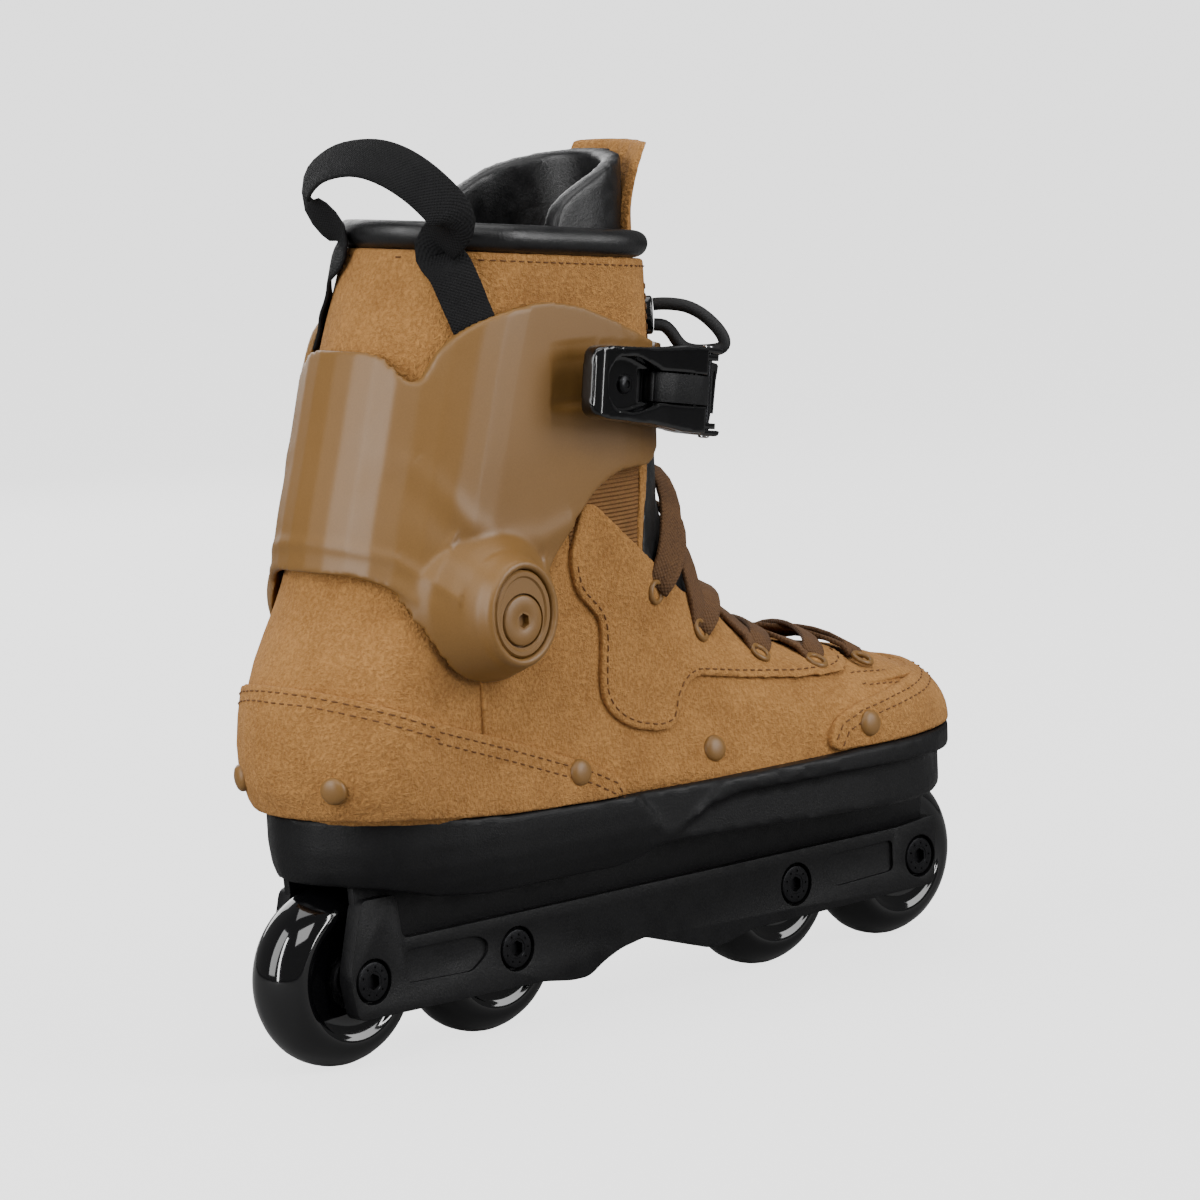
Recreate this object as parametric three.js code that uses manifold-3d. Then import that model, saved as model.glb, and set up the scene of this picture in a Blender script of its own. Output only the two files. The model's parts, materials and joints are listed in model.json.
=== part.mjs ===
// An aggressive inline skate for the right foot: a one-piece sole and frame, four wheels, a suede boot
// with a padded liner, a hinged cuff and a ratchet buckle.
// Millimetres. +X towards the toe, +Y towards the inner side of the foot, +Z up.
// Origin: on the ground, midway between the first and the last axle.
import * as THREE from "three";
import { mergeVertices } from "three/addons/utils/BufferGeometryUtils.js";
import Module from "manifold-3d";

const wasm = await Module();
wasm.setup();

// ---------------------------------------------------------------- driving dimensions

const GAP = 0.3; // between two pieces that touch
const RUNNING = 0.2; // radial clearance of a turning fit

const wheel = { radius: 30, width: 24, flat: 9, tyre: 8, sides: 18 };
const axle = { radius: 3.85, headRadius: 6.75, headThickness: 2.7, hexRadius: 2.9, hexDepth: 1.8, nutPin: 3, sides: 10 };
const bearing = { outer: 11, bore: axle.radius + RUNNING, width: 7 };
const spacer = { outer: 5.2, halfLength: 3.3 };
const spacing = { middleGap: 72, pairGap: 3 }; // between treads: second to third wheel, and within each pair

const frame = {
  sideClearance: 2.5, // from a wheel to the rail beside it
  wheelClearance: 2.4, // from a tread to the well round it
  floorClearance: 3, // from the treads up to the sole's floor
  rail: 5.9, // thickness of the rails
  web: 3, // thickness of the wall above the rails
  bossRadius: 6.5,
  recessDepth: 3.2,
  railBelow: 13, // from the axles down to the rails' lower edge
  railAbove: 12,
  blockBelow: 15, // from the axles down to the grind block
  postBack: 8, // how far the rails run past the end axles
};
const DECK = 63; // level of the underside of the sole's floor, which all other levels are drawn from
const sole = { top: 80, heelTop: 84, bottom: 53, wall: 3.5, length: 289.5 };

const boot = {
  bottom: 67, // lowest level of the last, inside the sole tub
  skin: 6.3, // suede, padding and inner shell together
  overlay: 1.5, // counter, toe cap and eyestays
  throatHalfWidth: 14,
};
const liner = { wall: 4.4, shaftWall: 6, collarHeight: 8, collarProud: 1.2 };
const tongue = { wall: 6.7, stripTop: 0.3, stripDepth: 13.5, top: 292 };
const insole = { thickness: 3.5 };
const rivet = { headRadius: 4.5, headHeight: 1.8, shankRadius: 1.5, shankLength: 3.2 };
const lace = { width: 6.5, thickness: 1.5, lift: 3.6 };

const cuff = { gap: 2.2, wall: 2.6, pivotX: -88, pivotZ: 145, bossFace: 56, ovalRise: 2.2 };
const oval = { halfWidth: 12.5, halfHeight: 14.5, rim: 2, depth: 5 };
const pivotBolt = { headRadius: 8.2, headThickness: 2.6, shaftRadius: 4.2, nutRadius: 5, flangeRadius: 8, flange: 1.5 };

const strap = { width: 20, thickness: 2.4 };
const buckle = {
  x: -22, z: 213.5, turn: 8, slope: 9, // place on the cuff, and its two small angles in degrees
  rear: -13, front: 33, floor: 2.2, cheekRear: 11, cheek: 1.9, cheekAbove: 4.8, // above the strap
  strapClearance: 0.6, // under and over the strap
  pinU: 28, pinAbove: 2.3, pinRadius: 1.6, pinProud: 3.3,
  pawlU: 14, pawlAbove: 3.4, pawlHalfWidth: 7.3, pawlHeight: 6.2, trunnionRadius: 1.5,
  leverRear: -36, leverThickness: 4.7, leverProud: 2.5, leverTail: 1.5,
};
const strapScrew = { headRadius: 4.2, headThickness: 1.8, shankRadius: 1.8, shankLength: 4 };
const pullLoop = { width: 15, thickness: 1.1 };
const cord = { radius: 2.2 };
const tab = { halfWidth: 4.5, halfHeight: 6.5, thickness: 1.6 };

// ---------------------------------------------------------------- materials

const finish = (color, roughness, metalness = 0) => new THREE.MeshStandardMaterial({ color, roughness, metalness });
const SUEDE = finish(0xaa763e, 0.95);
const CUFF_PLASTIC = finish(0x8c6b46, 0.45);
const BLACK_NYLON = finish(0x151515, 0.6);
const BLACK_URETHANE = finish(0x0b0b0b, 0.15);
const BLACK_FABRIC = finish(0x101010, 0.9);
const BLACK_LEATHER = finish(0x0e0e10, 0.35);
const BLACK_METAL = finish(0x1a1a1c, 0.35, 0.8);
const STEEL = finish(0xb8babd, 0.3, 1);
const LACE_BROWN = finish(0x694b2d, 0.9);

// ---------------------------------------------------------------- solids

function signedVolume(position, index) {
  const a = new THREE.Vector3(), b = new THREE.Vector3(), c = new THREE.Vector3();
  let volume = 0;
  for (let i = 0; i < index.length; i += 3) {
    a.fromBufferAttribute(position, index[i]);
    b.fromBufferAttribute(position, index[i + 1]);
    c.fromBufferAttribute(position, index[i + 2]);
    volume += a.dot(b.cross(c)) / 6;
  }
  return volume;
}

// A closed geometry as a solid, turned right side out.
function solid(geometry) {
  const bare = new THREE.BufferGeometry();
  bare.setAttribute("position", geometry.getAttribute("position").clone());
  bare.setIndex(geometry.index);
  const merged = mergeVertices(bare, 1e-4);
  const triVerts = new Uint32Array(merged.index.array);
  if (signedVolume(merged.getAttribute("position"), triVerts) < 0) {
    for (let i = 0; i < triVerts.length; i += 3) {
      [triVerts[i + 1], triVerts[i + 2]] = [triVerts[i + 2], triVerts[i + 1]];
    }
  }
  const vertProperties = new Float32Array(merged.getAttribute("position").array);
  return new wasm.Manifold(new wasm.Mesh({ numProp: 3, vertProperties, triVerts }));
}

function geometryOf(manifold) {
  const mesh = manifold.getMesh();
  const geometry = new THREE.BufferGeometry();
  geometry.setAttribute("position", new THREE.BufferAttribute(new Float32Array(mesh.vertProperties), 3));
  geometry.setIndex(new THREE.BufferAttribute(new Uint32Array(mesh.triVerts), 1));
  return geometry;
}

const join = (...parts) => parts.reduce((all, one) => all.add(one));
const cut = (body, ...tools) => tools.reduce((rest, tool) => rest.subtract(tool), body);

// The outline in X and Z, extruded along Y.
function sidePrism(outline, y0, y1) {
  const shape = new THREE.Shape(outline.map(([x, z]) => new THREE.Vector2(x, z)));
  const geometry = new THREE.ExtrudeGeometry(shape, { depth: y1 - y0, bevelEnabled: false, curveSegments: 6 });
  return solid(geometry.rotateX(Math.PI / 2).translate(0, y1, 0));
}

function block(x0, x1, y0, y1, z0, z1) {
  const geometry = new THREE.BoxGeometry(x1 - x0, y1 - y0, z1 - z0);
  return solid(geometry.translate((x0 + x1) / 2, (y0 + y1) / 2, (z0 + z1) / 2));
}

// A round bar along Y.
function barY(radius, x, z, y0, y1, sides) {
  const geometry = new THREE.CylinderGeometry(radius, radius, y1 - y0, sides);
  return solid(geometry.translate(x, (y0 + y1) / 2, z));
}

// A body turned about Y, from [radius, y] points, with a facet at its lowest side.
// A profile off the axis is closed on itself.
function turned(profile, sides) {
  const points = profile.map(([r, y]) => new THREE.Vector2(r, y));
  if (profile[0][0] > 0) points.push(points[0].clone());
  return solid(new THREE.LatheGeometry(points, sides, Math.PI / sides));
}

// A closed body through a row of rings that all have the same number of points.
function loft(rings) {
  const sides = rings[0].length;
  const points = rings.flat();
  const triangles = [];
  for (let i = 0; i + 1 < rings.length; i++) {
    for (let j = 0; j < sides; j++) {
      const a = i * sides + j;
      const b = i * sides + ((j + 1) % sides);
      triangles.push(a, b, a + sides, b, b + sides, a + sides);
    }
  }
  for (const [start, flip] of [[0, true], [(rings.length - 1) * sides, false]]) {
    const middle = new THREE.Vector3();
    for (let j = 0; j < sides; j++) middle.addScaledVector(points[start + j], 1 / sides);
    points.push(middle);
    const hub = points.length - 1;
    for (let j = 0; j < sides; j++) {
      const a = start + j;
      const b = start + ((j + 1) % sides);
      triangles.push(...(flip ? [b, a, hub] : [a, b, hub]));
    }
  }
  const geometry = new THREE.BufferGeometry().setFromPoints(points);
  geometry.setIndex(triangles);
  return solid(geometry);
}

// A flat band along a row of stations, each with its place, its outward normal and its width direction.
function ribbon(stations, width, thickness) {
  return loft(stations.map(({ at, normal, across }) => {
    const n = normal.clone().normalize().multiplyScalar(thickness / 2);
    const w = across.clone().normalize().multiplyScalar(width / 2);
    return [[-1, -1], [1, -1], [1, 1], [-1, 1]].map(([a, b]) =>
      at.clone().addScaledVector(w, a).addScaledVector(n, b));
  }));
}

// ---------------------------------------------------------------- the last: the boot's own shape

// A longer sole moves what lies ahead of the ball towards the toe, and leaves the rest.
const SOLE_BACK = -141.5;
const DRAWN_FRONT = 148; // the sole's front in the outlines below
const BALL = 20;
const soleFront = SOLE_BACK + sole.length;
const toeward = (x) => (x <= BALL ? x : BALL + ((x - BALL) * (soleFront - BALL)) / (DRAWN_FRONT - BALL));
const footPrism = (outline, y0, y1) => sidePrism(outline.map(([x, z]) => [toeward(x), z]), y0, y1);

// One section of the foot and shaft each: the outer end lies on the sole or the back, the inner end on
// the instep or the front. Half widths run from the outer to the inner end, outer side of the foot first.
const SECTIONS = [
  { outer: [144.5, 68], inner: [144.5, 85.5], lateral: [13, 10], medial: [15, 12], ends: [4, 12] },
  { outer: [140.5, 67], inner: [140.5, 92], lateral: [21, 18], medial: [23, 20], ends: [7, 17] },
  { outer: [133, 67], inner: [133, 98.5], lateral: [30, 27], medial: [31, 28], ends: [9, 23] },
  { outer: [123, 67], inner: [123, 103], lateral: [38, 35], medial: [37, 34], ends: [9, 28] },
  { outer: [108, 67], inner: [108, 108], lateral: [44.5, 42], medial: [41.5, 39], ends: [9, 33] },
  { outer: [87, 67], inner: [87, 112], lateral: [48.5, 45], medial: [44, 41], ends: [9, 36] },
  { outer: [60, 67], inner: [60, 117], lateral: [48.5, 42], medial: [44, 39], ends: [9, 40] },
  { outer: [19.6, 67], inner: [42, 127], lateral: [45, 34], medial: [40.5, 32], ends: [12, 42] },
  { outer: [-33, 67], inner: [30, 141], lateral: [41, 31], medial: [37.5, 30], ends: [20, 44] },
  { outer: [-112, 67], inner: [22.5, 154.5], lateral: [39, 31], medial: [38, 31], ends: [34, 43] },
  { outer: [-144, 86], inner: [18, 161], lateral: [38.5, 32.5], medial: [38.5, 32], ends: [37, 42] },
  { outer: [-147, 120], inner: [14.5, 168], lateral: [39, 33.5], medial: [39, 33.5], ends: [38, 41] },
  { outer: [-131, 154], inner: [12, 173], lateral: [38.5, 35], medial: [38.5, 35], ends: [38, 40] },
  { outer: [-125, 178], inner: [11, 178], lateral: [38, 36.5], medial: [38, 36.5], ends: [38, 39] },
  { outer: [-118, 202], inner: [10, 202], lateral: [38, 38], medial: [38, 38], ends: [38, 38] },
  { outer: [-109.5, 232], inner: [10.5, 232], lateral: [38, 38], medial: [38, 38], ends: [38, 38] },
  { outer: [-97.5, 264], inner: [10, 264], lateral: [38, 38], medial: [38, 38], ends: [38, 38] },
  { outer: [-88, 300], inner: [11, 300], lateral: [37.5, 37.5], medial: [37.5, 37.5], ends: [37, 37] },
];
const OUTER_STEPS = 3; // facets of a section's outer and inner round ends, on each side of the foot
const INNER_STEPS = 4;
const TOE_START = 100; // ahead of this the sections move forwards as the last grows

// One closed ring of the last, all over `grow` outside its own surface.
function lastRing({ outer, inner, lateral, medial, ends }, grow) {
  const from = new THREE.Vector3(toeward(outer[0]), 0, outer[1]);
  const along = new THREE.Vector3(toeward(inner[0]), 0, inner[1]).sub(from);
  const span = along.length() + 2 * grow;
  along.normalize();
  const forward = grow * THREE.MathUtils.smoothstep(outer[0], TOE_START, SECTIONS[0].outer[0]);
  from.addScaledVector(along, -grow).add(new THREE.Vector3(forward, 0, 0));
  const outerEnd = Math.min(Math.max(ends[0] + grow, 1), span * 0.45);
  const innerEnd = Math.min(Math.max(ends[1] + grow, 1), span * 0.5);
  const place = (depth, fullness, side, widths) => {
    const width = THREE.MathUtils.lerp(widths[0], widths[1], depth / span) + grow;
    return from.clone().addScaledVector(along, depth).setY(side * width * fullness);
  };
  const half = (side, widths) => {
    const points = [];
    for (let i = 0; i <= OUTER_STEPS; i++) {
      const turn = (Math.PI / 2) * (i / OUTER_STEPS);
      points.push(place(outerEnd * (1 - Math.cos(turn)), Math.sin(turn), side, widths));
    }
    for (let i = 0; i <= INNER_STEPS; i++) {
      const turn = (Math.PI / 2) * (i / INNER_STEPS);
      points.push(place(span - innerEnd * (1 - Math.sin(turn)), Math.cos(turn), side, widths));
    }
    return points;
  };
  return [...half(1, medial), ...half(-1, lateral).slice(1, -1).reverse()];
}

const lasts = new Map();
function last(grow) {
  if (!lasts.has(grow)) lasts.set(grow, loft(SECTIONS.map((section) => lastRing(section, grow))));
  return lasts.get(grow);
}

const shell = (outside, inside) => last(outside).subtract(last(inside));

// Where a ray first meets the last, and the way the surface faces there.
function touch(grow, origin, direction) {
  const mesh = new THREE.Mesh(geometryOf(last(grow)), new THREE.MeshBasicMaterial({ side: THREE.DoubleSide }));
  const start = new THREE.Vector3(...origin);
  const way = new THREE.Vector3(...direction).normalize();
  const [hit] = new THREE.Raycaster(start, way).intersectObject(mesh);
  const normal = hit.face.normal.clone();
  if (normal.dot(way) > 0) normal.negate();
  return { at: hit.point, normal };
}
const FAR = 300;
const sideTouch = (grow, x, z, side) => touch(grow, [x, side * FAR, z], [0, -side, 0]);

// ---------------------------------------------------------------- wheels and axles

const pairX = wheel.radius + spacing.middleGap / 2;
const endX = pairX + 2 * wheel.radius + spacing.pairGap;
const axleXs = [-endX, -pairX, pairX, endX];
const axleZ = DECK - frame.floorClearance - wheel.radius;
const bearingFace = spacer.halfLength + GAP + bearing.width;
const hubFace = bearingFace + GAP;
const innerHalf = wheel.width / 2 + frame.sideClearance; // half the gap between the two rails
const outerHalf = innerHalf + frame.rail;

function wheelSolid() {
  const half = wheel.width / 2;
  const core = wheel.radius - wheel.tyre;
  const tread = wheel.radius / Math.cos(Math.PI / wheel.sides); // its flats lie at the wheel's radius
  const side = [
    [bearing.outer, spacer.halfLength + GAP / 2],
    [bearing.outer, hubFace],
    [core - 3, hubFace],
    [core, half],
    [tread - 4.6, half * 0.82],
    [tread - 1.7, half * 0.56],
    [tread, wheel.flat / 2],
  ];
  const shoulder = bearing.outer - 1.8;
  const mirrored = side.map(([r, y]) => [r, -y]).reverse();
  const profile = [[shoulder, side[0][1]], ...side, ...mirrored, [shoulder, -side[0][1]]];
  return turned(profile, wheel.sides);
}

function bearingSolid() {
  const outer = bearing.outer - RUNNING;
  const shieldDip = 0.5;
  return turned([
    [bearing.bore, 0], [outer, 0], [outer, bearing.width], [outer - 1.6, bearing.width],
    [bearing.bore + 2, bearing.width - shieldDip], [bearing.bore, bearing.width],
  ], axle.sides);
}

const spacerSolid = () => turned([
  [bearing.bore, -spacer.halfLength], [spacer.outer, -spacer.halfLength],
  [spacer.outer, spacer.halfLength], [bearing.bore, spacer.halfLength],
], axle.sides);

const headSeat = outerHalf - frame.recessDepth + GAP; // under the head of an axle bolt
const headTop = headSeat + axle.headThickness;
const boltEnd = headSeat - axle.nutPin;
const hexSocket = (y0, y1) => barY(axle.hexRadius, 0, 0, y0, y1, 6);

function axleBoltSolid() {
  const bolt = turned([
    [0, -headTop], [axle.headRadius - 0.8, -headTop], [axle.headRadius, -headTop + 0.8],
    [axle.headRadius, -headSeat], [axle.radius, -headSeat], [axle.radius, boltEnd], [0, boltEnd],
  ], axle.sides);
  return cut(bolt, hexSocket(-headTop - 1, -headTop + axle.hexDepth));
}

function axleNutSolid() {
  const nut = turned([
    [0, boltEnd + GAP], [axle.radius, boltEnd + GAP], [axle.radius, headSeat], [axle.headRadius, headSeat],
    [axle.headRadius, headTop - 0.8], [axle.headRadius - 0.8, headTop], [0, headTop],
  ], axle.sides);
  return cut(nut, hexSocket(headTop - axle.hexDepth, headTop + 1));
}

// ---------------------------------------------------------------- chassis: sole tub and frame in one

// Half widths of the sole along its length: x, outer side, inner side.
const SOLE_PLAN = [
  [-137.7, 9, 9], [-124, 24.5, 24.5], [-92, 37.5, 37], [-46, 39.8, 38], [-2.5, 44.5, 40], [46.7, 50.5, 45],
  [84, 51.5, 46], [113, 46, 42.5], [133.5, 32, 32], [145, 15, 16],
];

function solePlan(inset, z) {
  const middle = (SOLE_BACK + soleFront) / 2;
  const x = (drawn) => middle + (toeward(drawn) - middle) * (1 - (2 * inset) / sole.length);
  const side = (column, sign) => SOLE_PLAN.map((row) => new THREE.Vector3(x(row[0]), sign * (row[column] - inset), z));
  return [
    new THREE.Vector3(x(SOLE_BACK), 0, z), ...side(1, -1),
    new THREE.Vector3(x(DRAWN_FRONT), 1, z), ...side(2, 1).reverse(),
  ];
}

const FAR_UP = 400;
// The sole's top edge seen from the side, and everything above it.
const soleEdge = [
  [-170, sole.heelTop + 1], [-125, sole.heelTop - 0.5], [-82, sole.top - 0.5], [-40, sole.top - 2],
  [0, sole.top - 2], [40, sole.top - 1], [70, sole.top], [170, sole.top - 0.5],
];
const aboveEdge = (lift) => footPrism(
  [...soleEdge.map(([x, z]) => [x, z + lift]), [170, FAR_UP], [-170, FAR_UP]], -80, 80);

// Each thickness of a side wall as a pair of Y limits on that side.
const sideSpan = (side, from, to) => (side > 0 ? [from, to] : [-to, -from]);

function soleTub() {
  const low = sole.bottom;
  const body = loft([
    solePlan(5, low), solePlan(1.5, low + 9), solePlan(0, low + 20), solePlan(0, sole.heelTop + 2),
  ]);
  const underside = footPrism([
    [-170, 30], [-170, 63], [-141, 62], [-125, 60], [-87, low + 0.5], [-33, low + 0.3], [-18, 59], [58, 58.5],
    [112, 56], [140, 57], [170, 62], [170, 30],
  ], -80, 80);
  return cut(body, aboveEdge(0), underside, last(-sole.wall));
}

function chassisSolid() {
  const rear = axleXs[0] - frame.postBack;
  const front = axleXs[3] + frame.postBack;
  const railBottom = axleZ - frame.railBelow;
  const railTop = axleZ + frame.railAbove;
  const block0 = axleZ - frame.blockBelow;
  const grind = [
    [-34, block0], [-27, block0 + 4], [-19, block0 + 7], [-7, block0 + 9], [8, block0 + 5], [22, block0],
  ];
  const rail = [
    [rear + 4, DECK - 6], [rear - 2, axleZ + 2], [rear + 1, railBottom + 1], [-55, railBottom], [-42, block0],
    ...grind, [30, block0], [44, railBottom + 1], [front - 1, railBottom + 2], [front + 1, railTop + 2],
    [front - 18, railTop], [rear + 21, railTop], [rear + 19, DECK - 6],
  ];
  const web = [[rear + 5, axleZ + 10], [front - 4, axleZ + 10], [front - 2, DECK + 1], [rear + 3, DECK + 1]];
  const walls = [-1, 1].flatMap((side) => [
    sidePrism(rail, ...sideSpan(side, innerHalf, outerHalf)),
    sidePrism(web, ...sideSpan(side, innerHalf, innerHalf + frame.web)),
    ...axleXs.map((x) => barY(frame.bossRadius, x, axleZ, ...sideSpan(side, hubFace, innerHalf + 1), 12)),
  ]);
  const coreHalf = innerHalf + 0.5;
  const middle = sidePrism([[-37, DECK - 3], ...grind, [34, block0], [37, DECK - 3]], -coreHalf, coreHalf);
  const floor = block(-120, 120, -coreHalf, coreHalf, DECK - 5, DECK + 3);
  const wellRadius = wheel.radius + frame.wheelClearance;
  const wells = axleXs.map((x) => barY(wellRadius, x, axleZ, -innerHalf, innerHalf, 20));
  const bores = axleXs.flatMap((x) => [
    barY(axle.radius + 0.4, x, axleZ, -30, 30, 10),
    ...[-1, 1].map((side) =>
      barY(axle.headRadius + 0.85, x, axleZ, ...sideSpan(side, outerHalf - frame.recessDepth, 40), 12)),
  ]);
  const core = cut(join(soleTub(), middle, floor), ...wells);
  return cut(join(core, ...walls), ...bores, last(-sole.wall));
}

// ---------------------------------------------------------------- boot

const beyondThroat = (half) => [block(-170, 170, half, 90, 0, FAR_UP), block(-170, 170, -90, -half, 0, FAR_UP)];
// The throat, from the vamp up over the instep.
const throat = (half) => footPrism(
  [[92, 100], [92, 130], [60, 150], [30, FAR_UP], [-15, FAR_UP], [-15, 150], [20, 118], [60, 96]], -half, half);

// Above the boot's own top edge, and below the liner shaft's lower edge.
const overBoot = (lift = 0) => sidePrism(
  [[-170, 157 + lift], [-125, 160 + lift], [15, 173 + lift], [60, 182 + lift], [170, 200], [170, FAR_UP], [-170, FAR_UP]],
  -80, 80);
const underShaft = sidePrism([[-170, 160], [-125, 165], [-45, 186], [15, 202], [170, 202], [170, 0], [-170, 0]], -80, 80);

const PIVOT_SIDES = 12;
const pivotTouch = (side) => sideTouch(0, cuff.pivotX, cuff.pivotZ, side);

const RIVET_SPOTS = [
  { x: -52, z: 89, grow: boot.overlay + GAP }, { x: 10, z: 88, grow: 0 }, { x: 76, z: 88, grow: boot.overlay + GAP },
];
const HEEL_RIVET = { angle: 31, z: 95, centreX: -106 };

function rivetPlaces() {
  return [-1, 1].flatMap((side) => {
    const turn = THREE.MathUtils.degToRad(HEEL_RIVET.angle);
    const way = [Math.cos(turn), -side * Math.sin(turn), 0];
    const start = [HEEL_RIVET.centreX - FAR * way[0], -FAR * way[1], HEEL_RIVET.z];
    return [
      touch(boot.overlay + GAP, start, way),
      ...RIVET_SPOTS.map(({ x, z, grow }) => sideTouch(grow, toeward(x), z, side)),
    ];
  });
}

const toNormal = (normal) => new THREE.Quaternion().setFromUnitVectors(new THREE.Vector3(0, 1, 0), normal);

function along(place, geometry) {
  return solid(geometry.applyQuaternion(toNormal(place.normal)).translate(...place.at));
}

const rivetHoles = () => rivetPlaces().map((place) =>
  along(place, new THREE.CylinderGeometry(rivet.shankRadius + GAP, rivet.shankRadius + GAP, 2 * rivet.shankLength + 2, 6)));

function rivetSolid(place) {
  const raised = { at: place.at.clone().addScaledVector(place.normal, GAP), normal: place.normal };
  const profile = [
    [0, -rivet.shankLength], [rivet.shankRadius, -rivet.shankLength], [rivet.shankRadius, 0], [rivet.headRadius, 0],
    [rivet.headRadius * 0.8, rivet.headHeight * 0.7], [rivet.headRadius * 0.35, rivet.headHeight], [0, rivet.headHeight],
  ];
  return along(raised, new THREE.LatheGeometry(profile.map(([r, y]) => new THREE.Vector2(r, y)), 8));
}

function bootSkinSolid() {
  const upper = last(0).intersect(aboveEdge(GAP));
  const lower = cut(last(-sole.wall - GAP), aboveEdge(GAP + 1));
  const pockets = [-1, 1].flatMap((side) => {
    const y = Math.abs(pivotTouch(side).at.y);
    const inside = y - boot.skin;
    const flangeTop = inside + pivotBolt.flange + 2 * GAP;
    return [
      barY(pivotBolt.nutRadius + GAP, cuff.pivotX, cuff.pivotZ, ...sideSpan(side, 0, 80), PIVOT_SIDES),
      barY(pivotBolt.flangeRadius + GAP, cuff.pivotX, cuff.pivotZ, ...sideSpan(side, 0, flangeTop), PIVOT_SIDES),
    ];
  });
  return cut(
    join(upper, lower), last(-boot.skin), overBoot(), throat(boot.throatHalfWidth), ...pockets, ...rivetHoles(),
  );
}

const overlayShell = () => shell(boot.overlay + GAP, GAP);

function heelCounterSolid() {
  const side = [
    [-170, sole.heelTop + 1.6], [-170, 133], [-147, 128], [-113, 114], [-45, 90.5], [-36, 85.5], [-31, sole.top - 1.3],
    [-40, sole.top - 1.4], [-82, sole.top + 0.1], [-125, sole.heelTop + 0.1],
  ];
  return cut(overlayShell().intersect(footPrism(side, -80, 80)), ...rivetHoles());
}

function toeCapSolid() {
  const side = [
    [58, sole.top + 0.5], [58, 86], [62, 91.5], [72, 95], [90, 97.5], [113, 99.5], [133, 101], [134, 120], [170, 120],
    [170, sole.top + 0.2],
  ];
  return cut(overlayShell().intersect(footPrism(side, -80, 80)), ...rivetHoles());
}

function eyestaySolid(side) {
  const outline = [
    [-45, 175], [-49, 158], [-47, 148], [-37, 138], [-36, 130], [-38, 112], [-33, 104], [-24, 99], [-11, 96.5],
    [-5, 99], [-1, 108], [4, 113], [30, 108], [54, 105.5], [76, 105.5], [86, 108], [90, 125], [60, 150], [10, 174],
  ];
  const half = beyondThroat(boot.throatHalfWidth + 0.6)[side > 0 ? 0 : 1];
  return overlayShell().intersect(footPrism(outline, -80, 80)).intersect(half);
}

const EYELETS = [[92, 107], [68, 109.5], [43, 115.5], [15, 127], [-9, 143]]; // x and z on the outer side, toe first

// A point over the instep between two facing eyelets: `share` runs from the outer side to the inner.
function laceStation(from, to, share, across) {
  const target = from.clone().lerp(to, share);
  const up = new THREE.Vector3(0.45, (share - 0.5) * 1.2, 0.9).normalize();
  const origin = target.clone().addScaledVector(up, 60);
  const { at } = touch(lace.lift, origin.toArray(), up.clone().negate().toArray());
  return { at: at.addScaledVector(up, lace.thickness / 2), normal: up, across };
}

function bootLaceSolid() {
  const eyelet = ([x, z], side) => sideTouch(0, toeward(x), z, side).at;
  const bars = [[0, 0]];
  for (let i = 0; i + 1 < EYELETS.length; i++) bars.push([i, i + 1], [i + 1, i]);
  const solids = bars.map(([lateral, medial]) => {
    const from = eyelet(EYELETS[lateral], -1);
    const to = eyelet(EYELETS[medial], 1);
    const way = to.clone().sub(from).normalize();
    const stations = [0.02, 0.25, 0.5, 0.75, 0.98].map((share) => {
      const across = new THREE.Vector3(0.45, 0, 0.9).cross(way);
      return laceStation(from, to, share, across);
    });
    return ribbon(stations, lace.width, lace.thickness);
  });
  return cut(join(...solids), last(boot.overlay + 2 * GAP));
}

// ---------------------------------------------------------------- liner

const linerOutside = -(boot.skin + 2 * GAP);
const linerInside = linerOutside - liner.wall;

function linerFootSolid() {
  return cut(shell(linerOutside, linerInside), overBoot(), throat(boot.throatHalfWidth));
}

const SHAFT_TOP = [[-170, 274], [-97, 264], [5, 253], [60, 247]];
const underTop = (lift) => sidePrism(
  [...SHAFT_TOP.map(([x, z]) => [x, z + lift]), [60, 0], [-170, 0]], -80, 80);

function linerShaftSolid() {
  const slit = block(-20, 60, -boot.throatHalfWidth, boot.throatHalfWidth, 0, FAR_UP);
  return cut(shell(0, -liner.shaftWall).intersect(underTop(0)), underShaft, slit);
}

function linerCollarSolid() {
  const ring = shell(liner.collarProud, -liner.shaftWall - liner.collarProud);
  const slit = block(-15, 60, -boot.throatHalfWidth - 4, boot.throatHalfWidth + 4, 0, FAR_UP);
  return cut(ring.intersect(underTop(liner.collarHeight + GAP)), underTop(GAP), slit);
}

function tongueSolid() {
  const outside = -(liner.shaftWall + liner.collarProud + GAP);
  const wide = [[-45, 196], [-45, 272], [-20, 284], [12, tongue.top], [60, tongue.top], [60, 186], [20, 186], [-10, 190]];
  const upper = shell(outside, outside - tongue.wall).intersect(sidePrism(wide, -80, 80));
  const narrow = [[84, 100], [84, 130], [60, 150], [30, 199], [-14, 199], [-14, 150], [20, 120], [60, 100]];
  const half = boot.throatHalfWidth - GAP;
  const lower = shell(-tongue.stripTop, -tongue.stripDepth).intersect(footPrism(narrow, -half, half));
  return join(upper, lower);
}

function insoleSolid() {
  const floor = boot.bottom - linerInside;
  return last(linerInside - GAP).intersect(block(-170, 170, -80, 80, floor, floor + insole.thickness));
}

// ---------------------------------------------------------------- cuff

function ellipseRing(y, halfWidth, halfHeight, rise, sides = 18) {
  return Array.from({ length: sides }, (_, i) => {
    const turn = (2 * Math.PI * i) / sides;
    return new THREE.Vector3(
      cuff.pivotX + halfWidth * Math.cos(turn), y, cuff.pivotZ + rise + halfHeight * Math.sin(turn));
  });
}

const cuffOutside = cuff.gap + cuff.wall;
const WING_LOW = 198; // lowest level of the wings across the front

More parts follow.
